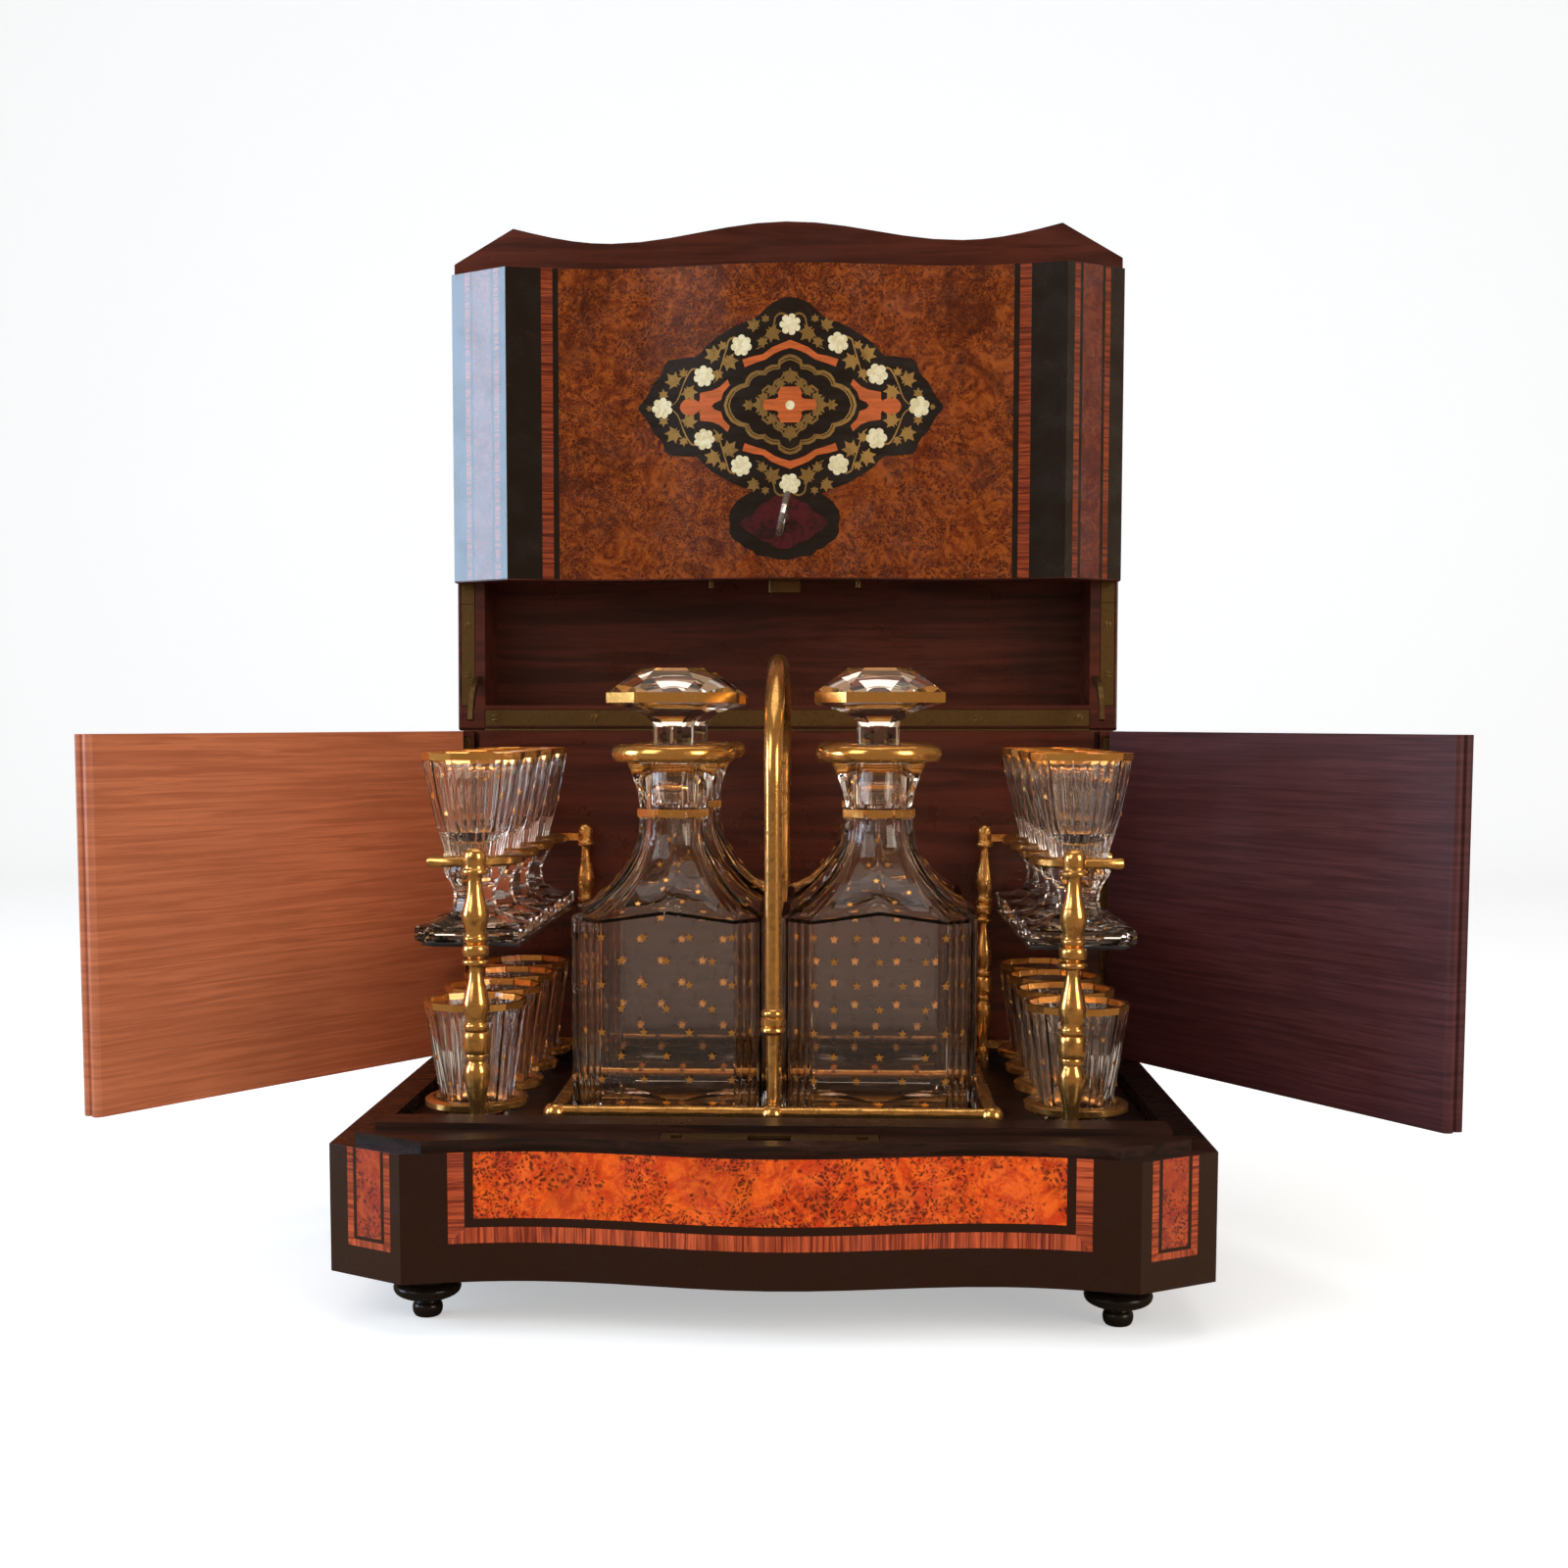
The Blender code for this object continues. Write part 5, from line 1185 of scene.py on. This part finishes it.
        for flips in FLIPS:
            for stem in stems:
                line(stem, 6, 0.0010, 0.0004, LAYERS["stem"], flips)
            spray(leaves[:-1] if flips[1] else leaves, 0.86, LAYERS["line"], flips)
            line(scroll, 5, 0.0011, 0.0007, LAYERS["curl"], flips)
        for flips in FLIPS:
            spray(tips, 1.0, LAYERS["curl"], flips)
        self.lay("brass_inlay", parts, inlay_brass(), "brass")


class CABINET_OT_fittings(bpy.types.Operator):
    """Finish the brass strips, leaves, stays, lock and key, and drive their screws"""
    bl_idname = "cabinet.fittings"
    bl_label = "Brass fittings"

    def execute(self, context):
        brass = aged_brass()
        fittings = ("door_hinge", "lid_hinge", "lid_side", "lid_stay", "lock_", "strike", "left_door_leaf",
                    "right_door_leaf")
        give([name for name in NODES if name.startswith(fittings)], brass)
        give(["key"], steel())
        size = settings("cabinet_metal").screw_radius
        leaning = (0, -1, 0.03)
        low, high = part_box("lid_hinge_strip")
        parts = [screw((CENTRE_X + x, low[1], (low[2] + high[2]) / 2), leaning, (cos(a), 0, sin(a)), size)
                 for x, a in ((-0.139, 0.3), (-0.0914, 1.1), (0, 2.0), (0.0914, 0.5), (0.139, 1.5))]
        for side, _ in SIDES:
            x, _, foot = centre_of("lid_side_strip_" + side)
            for i, height in enumerate((0.0145, 0.038, 0.095, 0.150, 0.195)):
                z = foot + height
                parts.append(screw((x, LID_AXIS.y + (z - LID_AXIS.z) * LID_SLOPE, z), leaning,
                                   (cos(i * 1.7), 0, sin(i * 1.7)), size * 0.9))
        make("lid_screws", parts, brass, "lid")
        parts = []
        for side, _ in SIDES:
            name = "door_hinge_strip_" + side
            for i, z in enumerate((0.093, 0.119, 0.145, 0.190, 0.212)):
                parts.append(screw((centre_of(name)[0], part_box(name)[0][1], z), (0, -1, 0),
                                   (cos(i * 2.1), 0, sin(i * 2.1)), size * 0.9))
        low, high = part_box("strike_plate")
        inset, sunk = 0.017, 0.0001
        for x in (low[0] + inset, high[0] - inset):
            parts.append(screw((x, (low[1] + high[1]) / 2, high[2] - sunk), (0, 0, 1), (1, 0.4, 0),
                               size * 0.8))
        make("cabinet_screws", parts, brass, "cabinet")
        return {"FINISHED"}


BACK_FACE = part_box("back_panel")[0][1]
# The rack, across from the middle line: rings' and posts' axes; then the glasses' first row and their pitch
RING_OUT, POST_OUT, REAR_POST_OUT = 0.120, 0.115, 0.0940
FIRST_ROW, ROW_PITCH = 0.0275, 0.042
RING_THICK, POST_RADIUS = 0.0042, 0.0053
# The bars' and rear posts' axes inside the frame's edge, and the front posts'
BAR_INSET, POST_INSET = 0.0042, 0.0027


class CABINET_OT_rack(bpy.types.Operator):
    """Make the gilt rack: rope-work fence, knobs, arched handle, baluster posts and ring plates"""
    bl_idname = "cabinet.rack"
    bl_label = "Gilt rack"

    def execute(self, context):
        gilt = gilding()
        self.fence(gilt)
        self.handle(gilt)
        for side, sign in SIDES:
            self.stand(side, sign, gilt)
        return {"FINISHED"}

    def fence(self, gilt):
        """Twisted bars between knobs, in front and behind, and plain ones at the sides and across."""
        low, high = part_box("decanter_frame")
        lift, half, rope, side_bar, cross_bar = 0.0117, 0.0849, 0.0029, 0.0027, 0.0021
        floor, level = low[2], low[2] + lift
        rear, front = high[1] - BAR_INSET, low[1] + BAR_INSET
        left, right = CENTRE_X - half, CENTRE_X + half
        parts = []
        for y in (front, rear):
            for start, end in ((left, CENTRE_X), (CENTRE_X, right)):
                path = np.linspace((start, y, level), (end, y, level), 140)
                parts.append(swept(path, rope, 20, twist=620, lobes=8, depth=0.2))
        middle = (front + rear) / 2
        bars = (((left, front), (left, rear), side_bar), ((right, front), (right, rear), side_bar),
                ((CENTRE_X, front), (CENTRE_X, rear), cross_bar),
                ((left, middle), (right, middle), cross_bar))
        for start, end, radius in bars:
            path = np.linspace((*start, level), (*end, level), 24)
            parts.append(swept(path, radius, 16))
        posts = rounded([(0.0001, 0.0), (0.0018, 0.0), (0.0019, 0.0020), (0.0014, 0.0045), (0.0022, 0.0066),
                         (0.0030, 0.0072), (0.0043, 0.0094), (0.0044, 0.0120), (0.0032, 0.0142),
                         (0.0018, 0.0149), (0.0001, 0.0150)], 3)
        posts = np.clip(posts, (0.0001, -1), 1)
        for x in (left, CENTRE_X, right):
            for y in (front, middle, rear):
                if y != middle or x == CENTRE_X:
                    parts.append(turned(posts, 12, (x, y, floor)))
        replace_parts(make("rope_fence", parts, gilt, "rack", smooth=50), "decanter_frame")

    def handle(self, gilt):
        """A round bar that climbs between the decanters, bends over in an arch and has a beaded ferrule."""
        low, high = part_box("carrying_handle")
        foot, top = low[2], high[2] - 0.0038
        front, rear = low[1] + 0.0049, high[1] - 0.0049
        middle, half = (front + rear) / 2, (rear - front) / 2
        bar = 0.0034
        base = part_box("decanter_frame")[0][2]
        spring = base + (top - base) * 0.74
        ferrule = foot + (spring - foot) / 4
        climb = np.array([(foot, 0.68), (ferrule - 0.012, 0.70), (ferrule - 0.0035, 0.72),
                          (ferrule - 0.0030, 1.0), (ferrule - 0.0020, 1.42), (ferrule - 0.0006, 1.42),
                          (ferrule, 1.22), (ferrule + 0.0006, 1.45), (ferrule + 0.0030, 1.45),
                          (ferrule + 0.0036, 1.22), (ferrule + 0.0046, 1.36), (ferrule + 0.0060, 1.30),
                          (ferrule + 0.0068, 1.0), (ferrule + 0.010, 0.98), (spring, 1.0)])
        angle = np.linspace(0, pi, 41)[1:-1]
        arch_y = middle - half * np.sign(np.cos(angle)) * np.abs(np.cos(angle)) ** 0.85
        arch = np.stack([arch_y, spring + (top - spring) * np.sin(angle)], axis=-1)
        swell = 1 + 0.14 * np.sin(angle) ** 0.5
        place = np.concatenate([np.stack([np.full(len(climb), front), climb[:, 0]], -1), arch,
                                np.stack([np.full(len(climb), rear), climb[::-1, 0]], -1)])
        radius = bar * np.concatenate([climb[:, 1], swell, climb[::-1, 1]])
        path = np.concatenate([np.full((len(place), 1), CENTRE_X), place], axis=1)
        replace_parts(make("arched_handle", [swept(path, radius, 24)], gilt, "rack", smooth=50),
                    "carrying_handle")

    def stand(self, side, sign, gilt):
        """Two turned posts, a row of rings low down, open ones at the bowls, and the shelf between."""
        name, shelf = "glass_stand_" + side, "glass_shelf_" + side
        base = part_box(name)[0][2]
        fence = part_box("decanter_frame")
        front, rear = fence[0][1] + POST_INSET, fence[1][1] - BAR_INSET
        x, rear_x, centre = (CENTRE_X + sign * out for out in (POST_OUT, REAR_POST_OUT, RING_OUT))
        outline = rounded([(0.0001, 0.0), (0.0040, 0.0), (0.0041, 0.0080), (0.0029, 0.0092),
                           (0.0028, 0.0129), (0.0042, 0.0200), (0.0051, 0.0276), (0.0034, 0.0318),
                           (0.0045, 0.0324), (0.0045, 0.0344), (0.0036, 0.0348), (0.0053, 0.0354),
                           (0.0053, 0.0426), (0.0038, 0.0432), (0.0048, 0.0438), (0.0048, 0.0462),
                           (0.0040, 0.0470), (0.0054, 0.0525), (0.0045, 0.0580), (0.0030, 0.0640),
                           (0.0028, 0.0690), (0.0052, 0.0695), (0.0052, 0.0712), (0.0036, 0.0718),
                           (0.0036, 0.0726), (0.0052, 0.0730), (0.0052, 0.0767), (0.0037, 0.0774),
                           (0.0047, 0.0784), (0.0047, 0.0802), (0.0039, 0.0814), (0.0053, 0.0877),
                           (0.0045, 0.0925), (0.0033, 0.0967), (0.0028, 0.1041), (0.0050, 0.1046),
                           (0.0050, 0.1062), (0.0042, 0.1070), (0.0044, 0.1110), (0.0036, 0.1134),
                           (0.0018, 0.1146), (0.0001, 0.1148)], 3)
        outline = np.clip(outline, (0.0001, 0.0), (0.0054, 0.1148))
        slim = outline * np.array([0.8, 1.0]) + np.array([0.00002, 0])
        parts = [turned(outline, 28, (x, front, base)), turned(slim, 24, (rear_x, rear, base))]
        rows = [FIRST_ROW + ROW_PITCH * i for i in range(4)]
        bevel, rim_bevel, rim_fall = 0.0012, 0.0014, 0.0010
        bridge, rear_bridge, gap, inset = 0.0030, 0.0018, 0.0020, 0.0004
        tumbler_rings, goblet_rings = (0.0090, 0.0156, 0.0050), (0.1065, 0.0132, 0.0062)
        for level, hole, width in (tumbler_rings, goblet_rings):
            rim = hole + width
            low_half = [(hole, bevel), (hole + bevel, 0.0), (rim - rim_bevel, 0.0), (rim, rim_fall)]
            section = low_half + [(radius, RING_THICK - height) for radius, height in low_half[::-1]]
            for row in rows:
                place = np.array([centre, BACK_FACE - row, base + level])
                if level == tumbler_rings[0]:
                    parts.append(ring_of(section, 48, centre=place))
                else:
                    parts.append(self.open_ring(section, place, sign))
            parts.append(self.plate(x, centre, hole, rows, front, rear, base + level, sign))
            last_hole = BACK_FACE - rows[-1] - hole
            bridges = (((x - bridge, front), (x + bridge, last_hole - gap)),
                       ((min(rear_x, x), rear - rear_bridge), (max(rear_x, x), rear + rear_bridge)))
            for start, end in bridges:
                parts.append(slab((*start, base + level + inset),
                                  (*end, base + level + RING_THICK - inset)))
        low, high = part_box(shelf)
        rail, rail_low, rail_high = 0.0016, high[2] - 0.0040, high[2] - 0.0014
        parts.append(slab((x - rail, front, rail_low), (x + rail, rear, rail_high)))
        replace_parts(make("ring_stand_" + side, parts, gilt, "rack", smooth=50), name)
        self.shelf(shelf, low, high, front + POST_RADIUS, sign)

    def shelf(self, name, low, high, front, sign):
        """A thin dark sheet with rounded outer corners."""
        side_gap, rear_gap, corner, bevel = 0.0024, 0.002, 0.008, 0.0003
        inner, outer = (low[0], high[0] - side_gap) if sign > 0 else (high[0], low[0] + side_gap)
        rear = high[1] - rear_gap
        bend = np.linspace(0, pi / 2, 8)
        near, far = corner * (1 - np.sin(bend)), corner * (1 - np.cos(bend))
        front_corner = np.stack([outer - sign * near, front + far], -1)
        rear_corner = np.stack([outer - sign * far, rear - near], -1)
        outline = np.concatenate([[(inner, front)], front_corner, rear_corner, [(inner, rear)]])
        if sign < 0:
            outline = outline[::-1]
        inset = outline + bevel * np.sign(outline.mean(axis=0) - outline)
        lacquer = mahogany("Shelf lacquer", (0.030, 0.026, 0.028), (0.014, 0.011, 0.012),
                           (20.0, 160.0, 160.0), 0.07)
        sheet = lofted([high[2] - depth for depth in (0.0015, 0.0012, bevel, 0.0)],
                       [inset, outline, outline, inset])
        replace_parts(make(name + "_sheet", [sheet], lacquer, "rack"), name)

    def open_ring(self, section, place, sign):
        """Half a ring on the inner side, its two arms carried on straight past the glass's middle."""
        radius, height = np.array(section, float).T
        angle = np.linspace(pi / 2, 3 * pi / 2, 29)
        bend = at_height(polar(radius, angle[:, None]), height)
        arms = [bend[end] + np.array([reach, 0, 0])
                for end, reach in ((0, 0.0150), (0, 0.0142), (-1, 0.0142), (-1, 0.0150))]
        for arm in (arms[0], arms[3]):
            arm[:, 1:] = arm[:, 1:] * 0.85 + arm[:, 1:].mean(axis=0) * 0.15
        points = np.concatenate([arms[:2], bend, arms[2:]]) * np.array([sign, 1, 1])
        return skin(points + place)

    def plate(self, x, centre, hole, rows, front, rear, level, sign):
        """The bar that joins the rings: its width shrinks where it meets each ring's hole."""
        half, narrowest, low, high = 0.0026, 0.0006, 0.0006, 0.0030
        clear = hole + 0.0010
        y = np.linspace(front, rear, 240)
        outer = np.full_like(y, x + sign * half)
        for row in rows:
            gap = np.abs(y - (BACK_FACE - row))
            edge = centre - sign * np.sqrt(np.clip(clear ** 2 - gap ** 2, 0, None))
            outer = np.where((gap < clear) & (sign * (edge - outer) < 0), edge, outer)
        within = np.minimum if sign > 0 else np.maximum
        inner = within(x - sign * half, outer - sign * narrowest)
        corners = [np.stack([side, y, np.full_like(y, level + lift)], -1)
                   for side, lift in ((inner, low), (outer, low), (outer, high), (inner, high))]
        return skin(np.stack(corners, axis=1))


class CABINET_OT_decanters(bpy.types.Operator):
    """Make the four square decanters with gilt collars and stars, and their cut stoppers"""
    bl_idname = "cabinet.decanters"
    bl_label = "Decanters"

    def execute(self, context):
        glass, gilt = crystal(), bright_gilding()
        for name in CORNERS:
            body, top = "decanter_" + name, "stopper_" + name
            x, y, z = centre_of(body)
            bottle = make("bottle_" + name, moved([decanter_parts()], x, y, z), glass, body,
                          smooth=24)
            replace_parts(bottle, body)
            trim = [collar_parts(), *neck_band_parts(), *decanter_stars()]
            make("bottle_gilding_" + name, moved(trim, x, y, z), gilt, body, smooth=30)
            place = (x, y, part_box(top)[0][2] + PLUG_LENGTH)
            cut = make("cut_stopper_" + name, moved([stopper_parts()], *place), glass, top,
                       smooth=12)
            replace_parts(cut, top)
            make("stopper_band_" + name, moved([girdle_parts()], *place), gilt, top, smooth=30)
        return {"FINISHED"}


class CABINET_OT_glasses(bpy.types.Operator):
    """Make the stemmed glasses and tumblers with their gilt rims and stars"""
    bl_idname = "cabinet.glasses"
    bl_label = "Glasses"

    def execute(self, context):
        glass, gilt = crystal(), bright_gilding()
        bodies = frame["record"]["behaviour"]["bodies"]
        owners = {node: body for body, nodes in bodies.items() for node in nodes}
        stemmed = GLASS_RIM, GLASS_STEM, GLASS_TOP, 0.050, 0.0635, 0.155
        beaker = TUMBLER_RIM, TUMBLER_FOOT, TUMBLER_TOP, 0.020, 0.040, 0.14
        for prefix, build, word, sizes in (("stemmed_glass_", stemmed_parts, "goblet_", stemmed),
                                           ("tumbler_", tumbler_parts, "beaker_", beaker)):
            rim, foot, top, low, high, slope = sizes
            for name in GLASSES:
                x, y, z = centre_of(prefix + name)
                body = owners[prefix + name]
                piece = make(word + name, moved(build(), x, y, z), glass, body, smooth=24)
                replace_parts(piece, prefix + name)
                trim = [rim_band(rim, top, slope), *glass_stars(rim, foot, top, low, high, 9)]
                make(word + "gilding_" + name, moved(trim, x, y, z), gilt, body, smooth=20)
        return {"FINISHED"}


# The camera, fitted to the cabinet's corners in the photograph: place, yaw and pitch, shift of the picture
CAMERA_PLACE = (0.0292, -0.8435, 0.2278)
CAMERA_TURN = radians(-2.59), radians(4.64)
CAMERA_SHIFT = 0.0238, 0.0589


class CABINET_OT_stage(bpy.types.Operator):
    """Set the pale floor and backdrop, the lamps, the world and the camera"""
    bl_idname = "cabinet.stage"
    bl_label = "Stage"

    def execute(self, context):
        kit = settings("cabinet_stage")
        scene = context.scene
        side, front, rear, radius, top = 3.2, -2.6, 2.5, 0.6, 3.4
        x = np.linspace(-side, side, 3)
        bend = np.linspace(0, pi / 2, 17)
        y = np.concatenate([[front], rear - radius + radius * np.sin(bend), [rear]])
        z = np.concatenate([[0.0], radius - radius * np.cos(bend), [top]])
        places, faces = skin(np.stack(np.broadcast_arrays(x, y[:, None], z[:, None]), axis=-1), closed=False)
        mesh = bpy.data.meshes.new("floor")
        clear = 0.00002
        mesh.from_pydata((places - up_by(clear)).tolist(), [], faces[0].tolist())
        mesh.shade_smooth()
        mesh.materials.append(self.pale(kit))
        floor = bpy.data.objects.new("floor", mesh)
        scene.collection.objects.link(floor)
        self.light("key_lamp", (-1.15, -1.25, 1.15), 0.9, kit.key_power, (0.94, 0.97, 1.0))
        self.light("warm_lamp", (1.3, -1.1, 0.7), 0.7, kit.sun_power, (1.0, 0.90, 0.78))
        self.light("top_lamp", (0.1, 0.1, 1.7), 1.1, kit.top_power, (1.0, 0.98, 0.96))
        self.light("window_lamp", (-1.5, -0.27, 0.5), 0.6, kit.window_power, (0.56, 0.76, 1.0))
        self.world(scene, kit)
        camera = bpy.data.cameras.new("camera")
        camera.sensor_width = 36.0
        camera.lens = kit.lens
        camera.shift_x, camera.shift_y = CAMERA_SHIFT
        camera.clip_start = 0.01
        holder = bpy.data.objects.new("camera", camera)
        scene.collection.objects.link(holder)
        yaw, pitch = CAMERA_TURN
        forward = Vector((sin(yaw) * cos(pitch), cos(yaw) * cos(pitch), -sin(pitch)))
        holder.location = CAMERA_PLACE
        holder.rotation_euler = forward.to_track_quat("-Z", "Y").to_euler()
        scene.camera = holder
        scene.view_settings.view_transform = "Standard"
        return {"FINISHED"}

    def pale(self, kit):
        """A matt floor, brighter for the camera and through glass, and dim in polished surfaces."""
        made = material("Pale floor", lambda tree: {"Roughness": 0.9, "Specular IOR Level": 0.1})
        tree = made.node_tree
        path = node(tree, "LightPath").outputs
        dimmed = mix(tree, path["Is Glossy Ray"], solid(kit.floor), solid(kit.warmth, kit.mirrored))
        tree.links.new(dimmed, tree.nodes["Principled BSDF"].inputs["Base Color"])
        seen = maths(tree, "MAXIMUM", path["Is Camera Ray"], path["Is Transmission Ray"])
        glow = node(tree, "Emission", {"Color": (1, 1, 1, 1), "Strength": times(tree, seen, 0.42)})
        both = node(tree, "AddShader", {0: tree.nodes["Principled BSDF"].outputs[0], 1: glow.outputs[0]})
        tree.links.new(both.outputs[0], tree.nodes["Material Output"].inputs[0])
        return made

    def light(self, name, place, size, power, tint):
        """A lamp that faces the cabinet."""
        lamp = bpy.data.lights.new(name, "AREA")
        lamp.shape = "RECTANGLE"
        lamp.size, lamp.size_y = size, size * 1.3
        lamp.energy = power
        lamp.color = tint
        obj = bpy.data.objects.new(name, lamp)
        bpy.context.scene.collection.objects.link(obj)
        obj.location = place
        obj.rotation_euler = (Vector((0, 0, 0.2)) - Vector(place)).to_track_quat("-Z", "Y").to_euler()

    def world(self, scene, kit):
        """White for the camera, dimmer through glass and as a lamp, and dimmest in polished surfaces."""
        world = bpy.data.worlds.new("studio")
        world.use_nodes = True
        tree = world.node_tree
        end = tree.nodes["World Output"]
        path = node(tree, "LightPath").outputs
        strength = kit.ambient
        rays = ("Is Glossy Ray", kit.mirrored), ("Is Transmission Ray", kit.through), ("Is Camera Ray", 1.0)
        for ray, level in rays:
            change = maths(tree, "SUBTRACT", level, strength)
            strength = maths(tree, "MULTIPLY_ADD", path[ray], change, strength)
        tint = mix(tree, path["Is Glossy Ray"], (1, 1, 1, 1), solid(kit.warmth))
        sky = node(tree, "Background", {"Color": tint, "Strength": strength})
        tree.links.new(sky.outputs[0], end.inputs[0])
        scene.world = world


OPERATORS = (CABINET_OT_carcase, CABINET_OT_veneers, CABINET_OT_marquetry, CABINET_OT_fittings,
             CABINET_OT_rack, CABINET_OT_decanters, CABINET_OT_glasses, CABINET_OT_stage)
GROUPS = (("cabinet_veneer", VeneerSettings), ("cabinet_metal", MetalSettings),
          ("cabinet_glass", GlassSettings), ("cabinet_stage", StageSettings))


class CABINET_PT_panel(bpy.types.Panel):
    """Sizes and colours of the cabinet, and a button for each group of pieces"""
    bl_label = "Liqueur Cabinet"
    bl_idname = "CABINET_PT_panel"
    bl_space_type = "VIEW_3D"
    bl_region_type = "UI"
    bl_category = "Cabinet"

    def draw(self, context):
        for operator in OPERATORS:
            self.layout.operator(operator.bl_idname)
        for name, kind in GROUPS:
            box = self.layout.box()
            for key in kind.__annotations__:
                box.prop(getattr(context.scene, name), key)


CLASSES = (VeneerSettings, MetalSettings, GlassSettings, StageSettings, *OPERATORS, CABINET_PT_panel)


def register():
    for kind in CLASSES:
        bpy.utils.register_class(kind)
    for name, kind in GROUPS:
        setattr(bpy.types.Scene, name, PointerProperty(type=kind))


def unregister():
    for name, _ in GROUPS:
        delattr(bpy.types.Scene, name)
    for kind in reversed(CLASSES):
        bpy.utils.unregister_class(kind)


def main():
    register()
    for operator in OPERATORS:
        getattr(bpy.ops.cabinet, operator.bl_idname.split(".")[1])()


if __name__ == "__main__":
    main()
